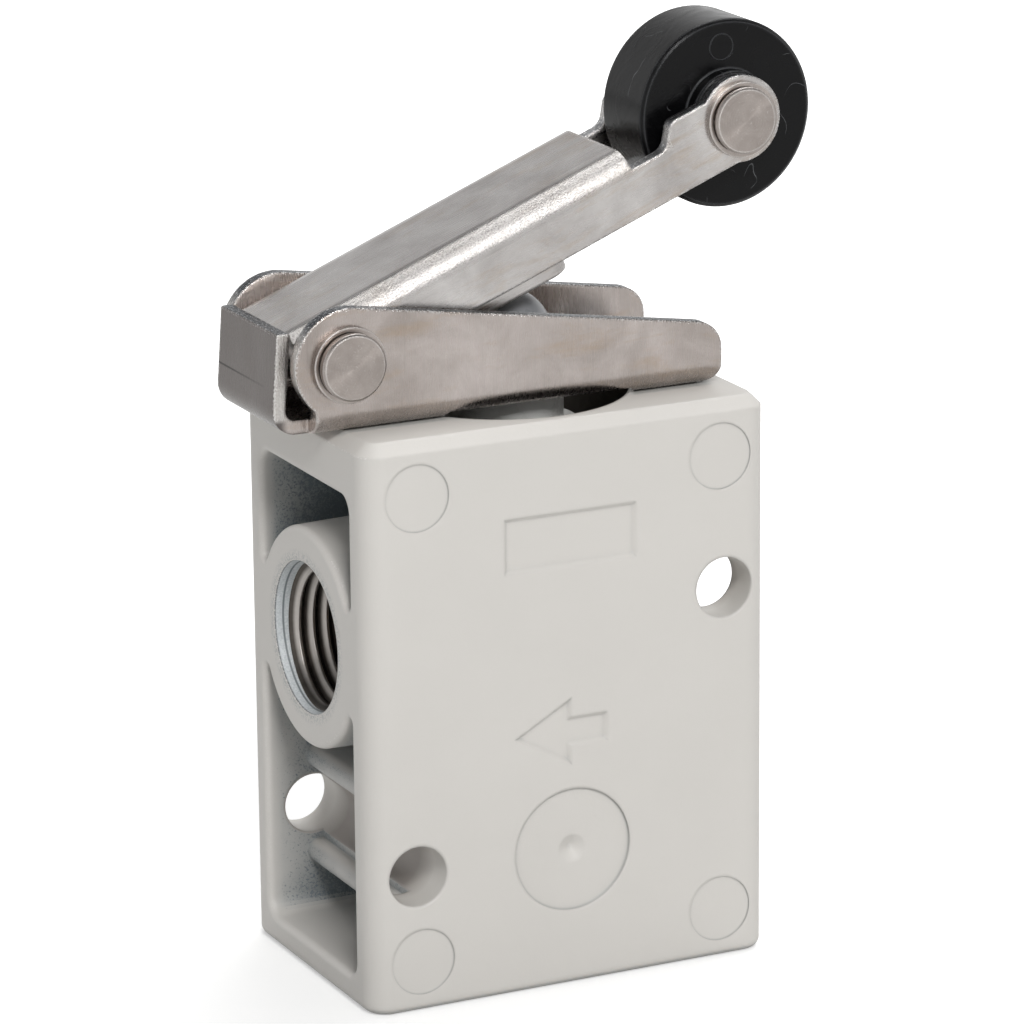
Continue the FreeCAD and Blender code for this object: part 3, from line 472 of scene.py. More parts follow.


# %% [markdown]
# Now the coats go on in turn: enamel, thin enamel that is partly painted shade, broken film, painted
# shade in the mounting holes, the dusted mouth lightened as painted light, and the cut bores darkened
# as painted shade. Then a faint dusting round the port's mouth, a painted shadow line at its edge and
# a thin darker line further in, painted shade in the corners of the shallow marks, and pale specks
# on the outer edges, which are worn chips and painted highlight. Enamel flows round every corner, so
# the normal is rounded too, which widens the shading of the shallow marks.

# %% Painted casting
fine_grain = 0.18 * MM                  # specks of thin spray
drift_size = 5.0 * MM                   # patches of thicker and thinner spray
cloud_size = 12.0 * MM                  # slow change of tone in the enamel
peel_grain = 0.4 * MM                   # orange peel of the enamel
peel_height = 0.06 * MM
enamel_flow = 0.5 * MM                  # radius that the enamel gives a corner
mouth_dusting = 1.0 * MM                # how far the dusting reaches round the mouth
dusting_depth = 0.4 * MM
shadow_line_depth = 0.16 * MM                   # the painted shadow line at the mouth's edge is this deep
second_line = (0.72 * MM, 0.9 * MM)     # and from where to where the thin darker line further in goes
mark_shade_reach = 0.7 * MM
edge_mark_radius = 0.25 * MM
edge_mark_depth = 0.6 * MM                   # only edges this near a side face get pale specks


def painted_casting():
    """Satin enamel on the casting, with its thin, dusted and bare places, chipped edges, and painted light
    and shade.
    """
    material, tree, shader, place = new_finish("painted_casting", IOR=1.5)
    spot = place.outputs["Object"]
    at = casting_places(tree, spot)
    found = casting_regions(tree, at)
    specks = add_node(tree, "ShaderNodeTexNoise", {
        "Vector": spot, "Scale": 1 / fine_grain, "Detail": 2.0, "Roughness": 0.6}).outputs["Fac"]
    drifts = add_node(tree, "ShaderNodeTexNoise", {
        "Vector": spot, "Scale": 1 / drift_size, "Detail": 3.0, "Roughness": 0.5}).outputs["Fac"]
    clouds = add_node(tree, "ShaderNodeTexNoise", {
        "Vector": spot, "Scale": 1 / cloud_size, "Detail": 3.0, "Roughness": 0.5}).outputs["Fac"]
    thinness_and_shade, broken = thin_spray_and_shade(tree, at, found.cavity, specks, drifts)

    round_mouth = region(
        tree, (at.from_port, "<", mouth_radius + mouth_dusting / 2, mouth_dusting),
        (at.from_port, ">", mouth_radius, sharp), (at.depth, "<", dusting_depth, sharp),
        (specks, ">", 0.52, 0.12))
    mouth_edge_shadow = region(tree, (at.depth, "<", shadow_line_depth, 2 * sharp), found.mouth)
    mouth_line = region(
        tree, (at.depth, ">", second_line[0], sharp), (at.depth, "<", second_line[1], sharp), found.mouth)
    # painted shade in the corners of the shallow marks on the front face
    nook = add_node(tree, "ShaderNodeAmbientOcclusion", {
        "Distance": mark_shade_reach}, samples=8).outputs["AO"]
    painted_mark_shade = add_node(tree, "ShaderNodeMapRange", {
        "Value": nook, "From Min": 0.5, "From Max": 0.92, "To Min": 0.6, "To Max": 0.0}).outputs[0]
    agreement = rounded_edges(tree, edge_mark_radius, 4)[1]
    # pale specks on the outer edges: worn chips, and painted highlight along the edges
    worn_and_painted_highlight = region(
        tree, (agreement, "<", 0.985, 0.01), (specks, ">", 0.56, 0.1), (at.depth, "<", edge_mark_depth, sharp))

    # bare cut metal, its dark tone also painted shade inside the port and the counterbore
    shaded_cut_metal = mottled(tree, clouds, "5A5651", "7A7570")
    colour = coats(
        tree, mottled(tree, clouds, "C9C6C1", "CFCCC7"),
        # thin enamel, partly painted shade on deep, shielded cavity faces
        (thinness_and_shade, mottled(tree, specks, "7A8286", "9AA1A3")),
        (broken, mottled(tree, drifts, "596168", "828C92")),
        # painted shade inside the mounting holes
        (found.hole, mottled(tree, clouds, "8C8580", "A59F99")),
        # dusted mouth, made lighter as painted light because its wall faces away from the lamps
        (found.mouth, mottled(tree, specks, "A0A8AC", "ECEFF0")),
        (found.port, shaded_cut_metal), (found.counterbore, shaded_cut_metal),
        # a painted shadow line at the mouth's edge, and a thin darker line further in
        (round_mouth, linear("A3A6A5")), (mouth_edge_shadow, linear("6E7072")), (mouth_line, linear("7D8386")),
        (painted_mark_shade, linear("9C9E9C")), (worn_and_painted_highlight, linear("EAE8E5")))
    link(tree, colour, shader, "Base Color")

    bare = add_node(tree, "ShaderNodeMath", {
        0: found.port, 1: found.counterbore}, operation="MAXIMUM").outputs[0]
    link(tree, bare, shader, "Metallic")
    rough = add_node(tree, "ShaderNodeMapRange", {"Value": bare, "To Min": 0.46, "To Max": 0.34}).outputs[0]
    link(tree, rough, shader, "Roughness")

    peel = add_node(tree, "ShaderNodeTexNoise", {
        "Vector": spot, "Scale": 1 / peel_grain, "Detail": 3.0, "Roughness": 0.6}).outputs["Fac"]
    relief = add_node(tree, "ShaderNodeMath", {
        0: broken, 1: 0.8, 2: peel}, operation="MULTIPLY_ADD").outputs[0]
    enamelled = add_node(tree, "ShaderNodeBevel", {"Radius": enamel_flow}, samples=8)
    bump = add_node(tree, "ShaderNodeBump", {
        "Strength": 0.25, "Distance": peel_height, "Height": relief, "Normal": enamelled.outputs[0]})
    link(tree, bump.outputs[0], shader, "Normal")
    return material


body_paint = painted_casting()
give_finish(body_paint, "valve_body")
print("body paint has", len(body_paint.node_tree.nodes), "nodes")

# %% [markdown]
# ## Sheet steel
# Bracket and lever are punched and folded from cold-rolled steel and then nickel plated. Three
# things give such a part away. The flats carry the faint lines of the rolling and of the press,
# with brownish stains where the plating dried. The outside of a fold is stretched and has a fine
# orange peel that breaks the reflections into glitter, and its bright and dark glitter specks are
# also painted highlight in the tone. The punched edges are torn and speckled, and their tone holds
# painted reflection. A node can't see which face is a punched edge, so it is worked out: on a flat
# or a fold the surface looks straight away from a box inside the fold, and on a punched edge it
# looks across that direction.

# %% Faces of a folded sheet
far = 1.0                               # a bound that is never reached
foot_drop = 0.6 * MM                    # lower than this under the bend centres, no edge is marked as torn
foot_border = 0.4 * MM
web_border = 0.2 * MM


def sheet_faces(tree, place, slope, inner_low, inner_high, web_end):
    """Spot and facing in the sheet's own tilt, and masks of punched edges, of folds and above the foot.

    The sheet is folded round the box from inner_low to inner_high. Beyond web_end along X only its
    side walls go on, so the box is open to the top there."""
    turn = {"Axis": (0.0, 1.0, 0.0), "Angle": slope}
    spot = add_node(tree, "ShaderNodeVectorRotate", {
        "Vector": place.outputs["Object"], "Center": hinge, **turn}, rotation_type="AXIS_ANGLE").outputs[0]
    facing = add_node(tree, "ShaderNodeVectorRotate", {
        "Vector": place.outputs["Normal"], **turn}, rotation_type="AXIS_ANGLE").outputs[0]
    along, _, rise = add_node(tree, "ShaderNodeSeparateXYZ", {0: spot}).outputs
    no_web = region(tree, (along, ">", web_end, web_border))
    high_z = add_node(tree, "ShaderNodeMath", {
        0: no_web, 1: far, 2: inner_high[2]}, operation="MULTIPLY_ADD").outputs[0]
    high = add_node(tree, "ShaderNodeCombineXYZ", {
        "X": inner_high[0], "Y": inner_high[1], "Z": high_z}).outputs[0]
    capped = add_node(tree, "ShaderNodeVectorMath", {0: spot, 1: high}, operation="MINIMUM").outputs[0]
    nearest = add_node(tree, "ShaderNodeVectorMath", {
        0: capped, 1: inner_low}, operation="MAXIMUM").outputs[0]
    away = add_node(tree, "ShaderNodeVectorMath", {0: spot, 1: nearest}, operation="SUBTRACT").outputs[0]
    outward = add_node(tree, "ShaderNodeVectorMath", {0: away}, operation="NORMALIZE").outputs[0]
    match = add_node(tree, "ShaderNodeVectorMath", {0: outward, 1: facing}, operation="DOT_PRODUCT")
    squareness = add_node(tree, "ShaderNodeMath", {
        0: match.outputs["Value"]}, operation="ABSOLUTE").outputs[0]
    above_foot = region(tree, (rise, ">", inner_low[2] - foot_drop, foot_border))
    torn = region(tree, (squareness, "<", 0.55, 0.2), above_foot)
    # on a fold the outward direction is neither level nor upright
    outward_z = add_node(tree, "ShaderNodeSeparateXYZ", {0: outward}).outputs["Z"]
    upright = add_node(tree, "ShaderNodeMath", {
        0: outward_z, 1: outward_z}, operation="MULTIPLY").outputs[0]
    rest = add_node(tree, "ShaderNodeMath", {0: 1.0, 1: upright}, operation="SUBTRACT").outputs[0]
    slanting = add_node(tree, "ShaderNodeMath", {0: upright, 1: rest}, operation="MULTIPLY").outputs[0]
    fold = region(tree, (slanting, ">", 0.05, 0.08))
    return SimpleNamespace(
        spot=spot, facing=facing, along=along, torn=torn, fold=fold, above_foot=above_foot)


# %% [markdown]
# The plating's tones come first: clouds, the fine lines of rolling and pressing, stains, painted
# glitter on the folds, and painted shade on the outer face of the stop tab at the bracket's left end.

# %% Plating
line_spacing = 0.3 * MM                 # real rolling lines are finer, and too fine to show
plating_clouds = 6.0 * MM
stain_size = 2.6 * MM
stain_stretch = (0.3, 1.0, 1.3)         # stains run along the sheet
peel_of_fold = 0.15 * MM
tab_shade_border = 0.6 * MM


def plating_tones(tree, at, lines, peel, plating, tab_shade_below, fold_peel):
    """Tone of flats and folds. plating is a pair of hex colours, darkened by painted shade below
    tab_shade_below in X.
    """
    clouds = add_node(tree, "ShaderNodeTexNoise", {
        "Vector": at.spot, "Scale": 1 / plating_clouds, "Detail": 5.0, "Roughness": 0.6,
        "Distortion": 0.5}).outputs["Fac"]
    long_spot = add_node(tree, "ShaderNodeMapping", {"Vector": at.spot, "Scale": stain_stretch}).outputs[0]
    stains = add_node(tree, "ShaderNodeTexNoise", {
        "Vector": long_spot, "Scale": 1 / stain_size, "Detail": 5.0, "Roughness": 0.7,
        "Distortion": 0.4}).outputs["Fac"]
    wide_clouds = add_node(tree, "ShaderNodeMapRange", {
        "Value": clouds, "From Min": 0.32, "From Max": 0.68}).outputs[0]
    # painted glitter: bright and dark specks on the folds stand in for the broken highlight
    painted_fold_glitter = mottled(tree, region(tree, (peel, ">", 0.46, 0.2)), "8A8582", "D5D2CF")
    return coats(
        tree, mottled(tree, wide_clouds, *plating),
        (region(tree, (lines, ">", 0.64, 0.1), (clouds, "<", 0.5, 0.2)), linear("857C77"), 0.22),
        (region(tree, (stains, ">", 0.6, 0.16)), linear("A08A70"), 0.32),
        (at.fold, painted_fold_glitter, 0.6 * fold_peel),
        # painted shade: the outer face of the stop tab is darkened
        (region(tree, (at.along, "<", tab_shade_below, tab_shade_border)), linear("5C5755"), 0.9))


# %% [markdown]
# Over them go the punched edges, torn and speckled. Their tone by facing is painted reflection: dark
# where they look up on the bracket, light on the lever, and bright steel where they look sideways.
# The rim along every edge is rolled over by the punch, and rubbed bright in spots with painted
# highlight. The bump is strongest on folds, rims and torn edges, on top of slight hollows in the flats.

# %% Plated sheet
torn_grain = 0.2 * MM
rolled_rim = 0.42 * MM
waviness = 9.0 * MM                     # slight hollows that the press leaves in a flat
hollow_depth = 0.25 * MM
peel_depth = 0.06 * MM
peel_of_flats = 0.05                    # share of that peel on the flats


def plated_sheet(name, shape, line_stretch, plating, torn_up_reflection, tab_shade_below, fold_peel):
    """Nickel plated sheet of a shape for sheet_faces.

    line_stretch lays the lines along the sheet, plating and torn_up_reflection are pairs of hex colours,
    the plating is darkened by painted shade below tab_shade_below in X, and fold_peel is how rough the
    folds are."""
    material, tree, shader, place = new_finish(name, Metallic=1.0)
    at = sheet_faces(tree, place, **shape)
    stretched = add_node(tree, "ShaderNodeMapping", {"Vector": at.spot, "Scale": line_stretch}).outputs[0]
    lines = add_node(tree, "ShaderNodeTexNoise", {
        "Vector": stretched, "Scale": 1 / line_spacing, "Detail": 4.0, "Roughness": 0.6}).outputs["Fac"]
    peel = add_node(tree, "ShaderNodeTexNoise", {
        "Vector": at.spot, "Scale": 1 / peel_of_fold, "Detail": 3.0, "Roughness": 0.6}).outputs["Fac"]
    grains = add_node(tree, "ShaderNodeTexNoise", {
        "Vector": at.spot, "Scale": 1 / torn_grain, "Detail": 3.0, "Roughness": 0.7}).outputs["Fac"]
    soft_edge, agreement = rounded_edges(tree, rolled_rim, 6)
    rim = region(tree, (agreement, "<", 0.95, 0.08), at.above_foot)

    facing_z = add_node(tree, "ShaderNodeSeparateXYZ", {0: at.facing}).outputs["Z"]
    # painted reflection: edges that look up get their own pair of tones, edges that look sideways bright
    # steel
    up_edge_reflection = mottled(tree, region(tree, (grains, ">", 0.6, 0.08)), *torn_up_reflection)
    looks_up = region(tree, (facing_z, ">", 0.55, 0.4))
    edge = coats(tree, mottled(tree, grains, "8E8985", "E4E1DE"), (looks_up, up_edge_reflection))
    colour = coats(
        tree, plating_tones(tree, at, lines, peel, plating, tab_shade_below, fold_peel),
        (at.torn, edge),
        # rubbed rims: wear, and painted highlight along the rolled edges
        (region(tree, rim, (grains, ">", 0.52, 0.1)), linear("E6E4E2")))
    link(tree, colour, shader, "Base Color")

    rough = add_node(tree, "ShaderNodeMapRange", {
        "Value": lines, "From Min": 0.3, "From Max": 0.7, "To Min": 0.24, "To Max": 0.31}).outputs[0]
    fold_rough = add_node(tree, "ShaderNodeMath", {
        0: at.fold, 1: 0.36 * fold_peel}, operation="MULTIPLY").outputs[0]
    rough = add_node(tree, "ShaderNodeMath", {0: rough, 1: fold_rough}, operation="MAXIMUM").outputs[0]
    link(tree, rough, shader, "Roughness")

    hollows = add_node(tree, "ShaderNodeTexNoise", {
        "Vector": at.spot, "Scale": 1 / waviness, "Detail": 1.0}).outputs["Fac"]
    wave = add_node(tree, "ShaderNodeBump", {
        "Strength": 0.5, "Distance": hollow_depth, "Height": hollows, "Normal": soft_edge}).outputs[0]
    bumpy = add_node(tree, "ShaderNodeMath", {0: at.fold, 1: fold_peel}, operation="MULTIPLY").outputs[0]
    for more in (rim, at.torn, peel_of_flats):
        bumpy = add_node(tree, "ShaderNodeMath", {0: bumpy, 1: more}, operation="MAXIMUM").outputs[0]
    height = add_node(tree, "ShaderNodeMath", {0: peel, 1: bumpy}, operation="MULTIPLY").outputs[0]
    bump = add_node(tree, "ShaderNodeBump", {
        "Strength": 0.9, "Distance": peel_depth, "Height": height, "Normal": wave})
    link(tree, bump.outputs[0], shader, "Normal")
    return material


# %% [markdown]
# The bracket is a level channel that is open upwards, with its lines upright. The lever is a
# tilted channel that is open downwards, with its lines along it.

# %% Bracket and lever
lever_slope = math.radians(21.8)
bracket_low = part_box("lever_bracket")[0]
tab_bend_x = bracket_low.x + 2.1 * MM   # centres of the bends: of the stop tab,
bracket_bend_y = 6.1 * MM               # of the bracket's walls, off the middle,
bracket_bend_z = bracket_low.z + 1.9 * MM
lever_bend_y = 4.3 * MM                 # and of the lever's walls
lever_bend_z = hinge.z + 1.75 * MM
lever_web_end = hinge.x + 35.4 * MM
tab_outside = bracket_low.x + 1.0 * MM  # the tab's outer face is left of this
bracket_shape = {
    "slope": 0.0, "inner_low": (tab_bend_x, -bracket_bend_y, bracket_bend_z),
    "inner_high": (far, bracket_bend_y, far), "web_end": far}
lever_shape = {
    "slope": lever_slope, "inner_low": (-far, -lever_bend_y, -far),
    "inner_high": (far, lever_bend_y, lever_bend_z), "web_end": lever_web_end}
bracket_plate = plated_sheet(
    "plated_bracket", bracket_shape, line_stretch=(1.0, 1.0, 0.05), plating=("9B938E", "B5ADA9"),
    torn_up_reflection=("25292F", "B6B8BB"), tab_shade_below=tab_outside, fold_peel=0.15)
lever_plate = plated_sheet(
    "plated_lever", lever_shape, line_stretch=(0.06, 1.0, 1.0), plating=("A5A19F", "C0BDBB"),
    torn_up_reflection=("8A8A8C", "F0EFEE"), tab_shade_below=-far, fold_peel=1.0)
give_finish(lever_plate, "lever")
print("sheet finishes:", bracket_plate.name, lever_plate.name)

# %% [markdown]
# A dark scratch runs across the bracket's stop tab. It is one more coat over the finished plating:
# a thin band at one height, on the tab's outer face, that gets darker along Y.

# %% Scratch on the stop tab
score_z = 55.45 * MM
score_half_width = 0.08 * MM
score_border = 0.06 * MM
score_start = -3.9 * MM                 # along Y, where it starts and is faint
score_full = 6.0 * MM                   # and where it is darkest
score_inside = 0.1 * MM                 # the scratch ends this far behind the tab's outer face


def score(material):
    """Lays the scratch over a finish."""
    tree = material.node_tree
    shader = tree.nodes["Principled BSDF"]
    plain = shader.inputs["Base Color"].links[0].from_socket
    spot = add_node(tree, "ShaderNodeTexCoord").outputs["Object"]
    x, y, z = add_node(tree, "ShaderNodeSeparateXYZ", {0: spot}).outputs
    fading = add_node(tree, "ShaderNodeMapRange", {
        "Value": y, "From Min": score_start, "From Max": score_full,
        "To Min": 0.15, "To Max": 1.3}).outputs[0]
    cut = region(
        tree, (z, "<", score_z + score_half_width, score_border),
        (z, ">", score_z - score_half_width, score_border),
        (x, "<", tab_outside + score_inside, 2 * sharp), fading, (y, ">", score_start, 2 * sharp))
    link(tree, coats(tree, plain, (cut, linear("2A2623"))), shader, "Base Color")


score(bracket_plate)
give_finish(bracket_plate, "lever_bracket")
print("scratch at", round(score_z, 5))

# %% [markdown]
# ## Turned pins
# Hinge pin and roller pin are turned from free-cutting steel and left bright. The tool leaves very
# fine rings around the axis, which open the highlight into a soft fan. The shader's anisotropy does
# that, with a tangent that runs round the axis. The real rings are finer than a pixel, so the few
# that are drawn are several times coarser.

# %% Turned steel
ring_spacing = 0.26 * MM
ring_depth = 0.006 * MM
steel_clouds = 1.6 * MM
tool_marks = 0.35 * MM
pin_edge = 0.2 * MM


def turned_steel(name, axis):
    """Bright turned steel with rings round an axis along Y."""
    material, tree, shader, place = new_finish(name, Metallic=1.0, Anisotropic=0.8)
    spot = add_node(tree, "ShaderNodeVectorMath", {
        0: place.outputs["Object"], 1: axis}, operation="SUBTRACT").outputs[0]
    # the rings run across the arm that leads from the axis to the spot
    across = add_node(tree, "ShaderNodeVectorMath", {
        0: spot, 1: (0.0, 1.0, 0.0)}, operation="CROSS_PRODUCT")
    tangent = add_node(tree, "ShaderNodeVectorTransform", {
        0: across.outputs[0]}, vector_type="VECTOR", convert_from="OBJECT", convert_to="WORLD")
    link(tree, tangent.outputs[0], shader, "Tangent")
    flat = add_node(tree, "ShaderNodeVectorMath", {
        0: spot, 1: (1.0, 0.0, 1.0)}, operation="MULTIPLY").outputs[0]
    radius = add_node(tree, "ShaderNodeVectorMath", {0: flat}, operation="LENGTH").outputs["Value"]
    phase = add_node(tree, "ShaderNodeMath", {
        0: radius, 1: 2 * math.pi / ring_spacing}, operation="MULTIPLY")
    rings = add_node(tree, "ShaderNodeMath", {0: phase.outputs[0]}, operation="SINE").outputs[0]
    clouds = add_node(tree, "ShaderNodeTexNoise", {
        "Vector": spot, "Scale": 1 / steel_clouds, "Detail": 4.0, "Roughness": 0.6,
        "Distortion": 0.6}).outputs["Fac"]
    marks = add_node(tree, "ShaderNodeTexNoise", {
        "Vector": spot, "Scale": 1 / tool_marks, "Detail": 3.0, "Roughness": 0.7,
        "Distortion": 1.5}).outputs["Fac"]
    soft_edge, agreement = rounded_edges(tree, pin_edge, 4)
    colour = coats(
        tree, mottled(tree, clouds, "877F7A", "AFA7A2"),
        (region(tree, (marks, ">", 0.7, 0.2)), linear("C4BEBA")),
        # painted highlight along the pins' edges
        (region(tree, (agreement, "<", 0.94, 0.1)), linear("E3DFDC")))
    link(tree, colour, shader, "Base Color")
    rough = add_node(tree, "ShaderNodeMapRange", {
        "Value": marks, "From Min": 0.3, "From Max": 0.7, "To Min": 0.26, "To Max": 0.4})
    link(tree, rough.outputs[0], shader, "Roughness")
    bump = add_node(tree, "ShaderNodeBump", {
        "Strength": 0.3, "Distance": ring_depth, "Height": rings, "Normal": soft_edge})
    link(tree, bump.outputs[0], shader, "Normal")
    return material


give_finish(turned_steel("turned_hinge_pin", hinge), "hinge_pin")
give_finish(turned_steel("turned_roller_pin", roller_axis), "roller_pin")
print("pin rings every", round(ring_spacing, 5), "m")

# %% [markdown]
# ## Small metal parts, plain plastic and rubber
# Springs and rings are spring steel with an oiled, slightly bluish skin. The screws are zinc
# plated. Seat and poppet are brass, turned bright. The plunger's guide is natural acetal, which is
# milky rather than pure white, and the seals are black nitrile rubber, matt and slightly cloudy.
# None of them shows much, so each gets a finish with cloudy tone and roughness, as drawn, turned
# or moulded parts have, and slightly rounded edges.

# %% Cloudy finishes
def cloudy(name, low, high, roughness, grain, edge, **sockets):
    """Finish between two hex colours. grain is (size of the clouds, spread of the roughness)."""
    material, tree, shader, place = new_finish(name, **sockets)
    size, spread = grain
    clouds = add_node(tree, "ShaderNodeTexNoise", {
        "Vector": place.outputs["Object"], "Scale": 1 / size, "Detail": 4.0}).outputs["Fac"]
    link(tree, mottled(tree, clouds, low, high), shader, "Base Color")
    rough = add_node(tree, "ShaderNodeMapRange", {
        "Value": clouds, "To Min": roughness - spread, "To Max": roughness + spread}).outputs[0]
    link(tree, rough, shader, "Roughness")
    soft_edge = add_node(tree, "ShaderNodeBevel", {"Radius": edge}, samples=4)
    link(tree, soft_edge.outputs[0], shader, "Normal")
    return material


def plain_metal(name, low, high, roughness):
    """Drawn, turned or plated metal."""
    return cloudy(name, low, high, roughness, (1.5 * MM, 0.08), 0.1 * MM, Metallic=1.0)


def plain_plastic(name, low, high, roughness):
    """Moulded or turned plastic, and rubber."""
    return cloudy(name, low, high, roughness, (2.0 * MM, 0.06), 0.15 * MM, IOR=1.48)


spring_finish = plain_metal("spring_steel", "85868A", "A3A4A6", 0.3)
zinc_plating = plain_metal("zinc_plating", "A8ABAE", "C6C8CA", 0.28)
give_finish(spring_finish, "guide_ring", "plunger_spring", "poppet_spring",
            "hinge_pin_clip", "roller_pin_clip")
give_finish(zinc_plating, "bracket_screw_left", "bracket_screw_right")
give_finish(plain_metal("turned_brass", "B08D4A", "C9A765", 0.3), "valve_seat", "poppet")
give_finish(plain_plastic("natural_acetal", "D6D6D3", "E4E4E1", 0.3), "plunger_guide")
give_finish(plain_plastic("nitrile_rubber", "1A1A1B", "252526", 0.6),
            "guide_seal", "stem_seal", "seat_seal", "poppet_seal")
print("materials so far:", len(bpy.data.materials))

# %% [markdown]
# The plunger is natural acetal too, but its dome sits in the shade under the lever, and that shade is
# painted: the plain finish gets one coat more, a grey that comes in over a few millimetres of height.

# %% Plunger
plunger_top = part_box("plunger")[1].z
unshaded_below = plunger_top - 7.0 * MM
shaded_above = plunger_top - 4.5 * MM


def dome_shaded_acetal():
    """Natural acetal with painted shade that turns it grey towards the dome."""
    material = plain_plastic("dome_shaded_acetal", "C6C6C3", "D6D6D3", 0.28)
    tree = material.node_tree
    shader = tree.nodes["Principled BSDF"]
    unshaded = shader.inputs["Base Color"].links[0].from_socket
    spot = add_node(tree, "ShaderNodeTexCoord").outputs["Object"]
    height = add_node(tree, "ShaderNodeSeparateXYZ", {0: spot}).outputs["Z"]
    painted_dome_shade = add_node(tree, "ShaderNodeMapRange", {
        "Value": height, "From Min": unshaded_below, "From Max": shaded_above, "To Max": 0.85}).outputs[0]
    link(tree, coats(tree, unshaded, (painted_dome_shade, linear("6E7075"))), shader, "Base Color")
    return material


give_finish(dome_shaded_acetal(), "plunger")
print("plunger top", round(plunger_top, 4))

# %% [markdown]
# ## Roller
# The roller is moulded from black acetal. Moulding gives a semi-gloss surface with faint flow
# swirls, and running against a cam adds fine pale scratches and rubs the edges smooth. The edges are
# a little paler, which is wear and also painted highlight along the rim and the hub. The scratches
# are thin bands where a distorted noise passes through its middle value, which gives long curved
# lines without a drawing. A second noise keeps them in patches.

# %% Black acetal
swirl_size = 4.5 * MM
scratch_size = 5.5 * MM
scratch_patches = 2.2 * MM
swirl_height = 0.06 * MM
roller_edge = 0.4 * MM


def black_acetal():
    """Moulded black acetal with flow swirls, scratches, and rubbed edges with painted highlight."""
    material, tree, shader, place = new_finish("black_acetal", IOR=1.48, Specular_IOR_Level=0.16)
    spot = place.outputs["Object"]
    swirls = add_node(tree, "ShaderNodeTexNoise", {
        "Vector": spot, "Scale": 1 / swirl_size, "Detail": 3.0, "Roughness": 0.55,
        "Distortion": 3.5}).outputs["Fac"]
    scuff_lines = add_node(tree, "ShaderNodeTexNoise", {
        "Vector": spot, "Scale": 1 / scratch_size, "Detail": 1.0, "Roughness": 0.5,
        "Distortion": 0.8}).outputs["Fac"]
    offset = add_node(tree, "ShaderNodeMath", {0: scuff_lines, 1: 0.5}, operation="SUBTRACT").outputs[0]
    distance = add_node(tree, "ShaderNodeMath", {0: offset}, operation="ABSOLUTE").outputs[0]
    patches = add_node(tree, "ShaderNodeTexNoise", {
        "Vector": spot, "Scale": 1 / scratch_patches, "Detail": 1.0}).outputs["Fac"]
    soft_edge, agreement = rounded_edges(tree, roller_edge, 6)
    colour = coats(
        tree, mottled(tree, swirls, "050506", "0F0F10"),
        (region(tree, (distance, "<", 0.0025, 0.003), (patches, ">", 0.56, 0.1)), linear("5A5B5D")),
        # paler edges: wear, and painted highlight along the rim and the hub
        (region(tree, (agreement, "<", 0.93, 0.1)), linear("4A4B4D")))
    link(tree, colour, shader, "Base Color")
    rough = add_node(tree, "ShaderNodeMapRange", {
        "Value": swirls, "From Min": 0.3, "From Max": 0.7, "To Min": 0.16, "To Max": 0.3}).outputs[0]
    link(tree, rough, shader, "Roughness")
    bump = add_node(tree, "ShaderNodeBump", {
        "Strength": 0.35, "Distance": swirl_height, "Height": swirls, "Normal": soft_edge})
    link(tree, bump.outputs[0], shader, "Normal")
    return material


roller_finish = black_acetal()
give_finish(roller_finish, "roller")
print("roller finish:", roller_finish.name)

# %% [markdown]
# ## Pieces swept from rings
# The thread ridges, the gate mark and the springs are all one section carried along a path. The
# sweep is built point by point: one ring of points at each step, and faces between neighbouring
# rings. An open sweep is capped at both ends, so that every piece is a closed solid.

# %% Helper for swept pieces
def swept(name, rings, closed=False):
    """Smooth piece skinned over rings of points. A closed sweep joins its last ring to its first."""
    shape = bmesh.new()
    loops = [[shape.verts.new(point) for point in ring] for ring in rings]
    followers = loops[1:] + loops[:1] if closed else loops[1:]
    for first, second in zip(loops, followers):
        for index in range(len(first)):
            following = (index + 1) % len(first)
            shape.faces.new((first[index], first[following], second[following], second[index]))
    if not closed:
        shape.faces.new(loops[0])
        shape.faces.new(reversed(loops[-1]))
    bmesh.ops.recalc_face_normals(shape, faces=shape.faces)
    mesh = bpy.data.meshes.new(name)
    shape.to_mesh(mesh)
    shape.free()
    for face in mesh.polygons:
        face.use_smooth = True
    piece = bpy.data.objects.new(name, mesh)
    bpy.context.scene.collection.objects.link(piece)
    return piece


def ring_of_points(centre, outward, across, count):
    """Points round a centre, on the ellipse that two arms span."""
    turns = [2 * math.pi * index / count for index in range(count)]
    return [centre + outward * math.cos(turn) + across * math.sin(turn) for turn in turns]


# %% [markdown]
# ## Port threads
# Each port has a quarter inch pipe thread, 19 turns to the inch. The photograph looks right into
# one port, and there a bump would look flat, so the ridge is a real shape: one rounded V that winds
# inwards along a helix, and fades in and out over half a turn. Its back sits just inside the wall
# of the bore. It starts at the front of the port, where the mouth hides the start.

# %% Threads
thread_pitch = 25.4 / 19 * MM
thread_crest = 5.72 * MM                # radius of the ridge's top
thread_start = 1.3 * MM                 # below the face of the port
thread_end = 10.3 * MM
ridge_share = 0.999                     # of the pitch, so that neighbouring turns stay apart
ridge_outline = (                       # (share of the pitch, share of the ridge's height)
    (-0.5, 0.0), (-0.38, 0.12), (-0.1, 0.92), (0.0, 1.0), (0.1, 0.92), (0.38, 0.12), (0.5, 0.0))
steps_per_turn = 72
fade_turns = 0.5
thinnest = 0.02                         # share of the ridge's height that its ends keep
wall_bite = 0.05 * MM                   # how far the ridge's back reaches into the wall


def ridge_profile(height_share):
    """Points across one ridge as (share of the pitch, radius), from the wall to the crest and back."""
    height = (port_radius - thread_crest) * height_share
    points = [(across, port_radius - height * rise) for across, rise in ridge_outline]
    return points + [(0.5, port_radius + wall_bite), (-0.5, port_radius + wall_bite)]


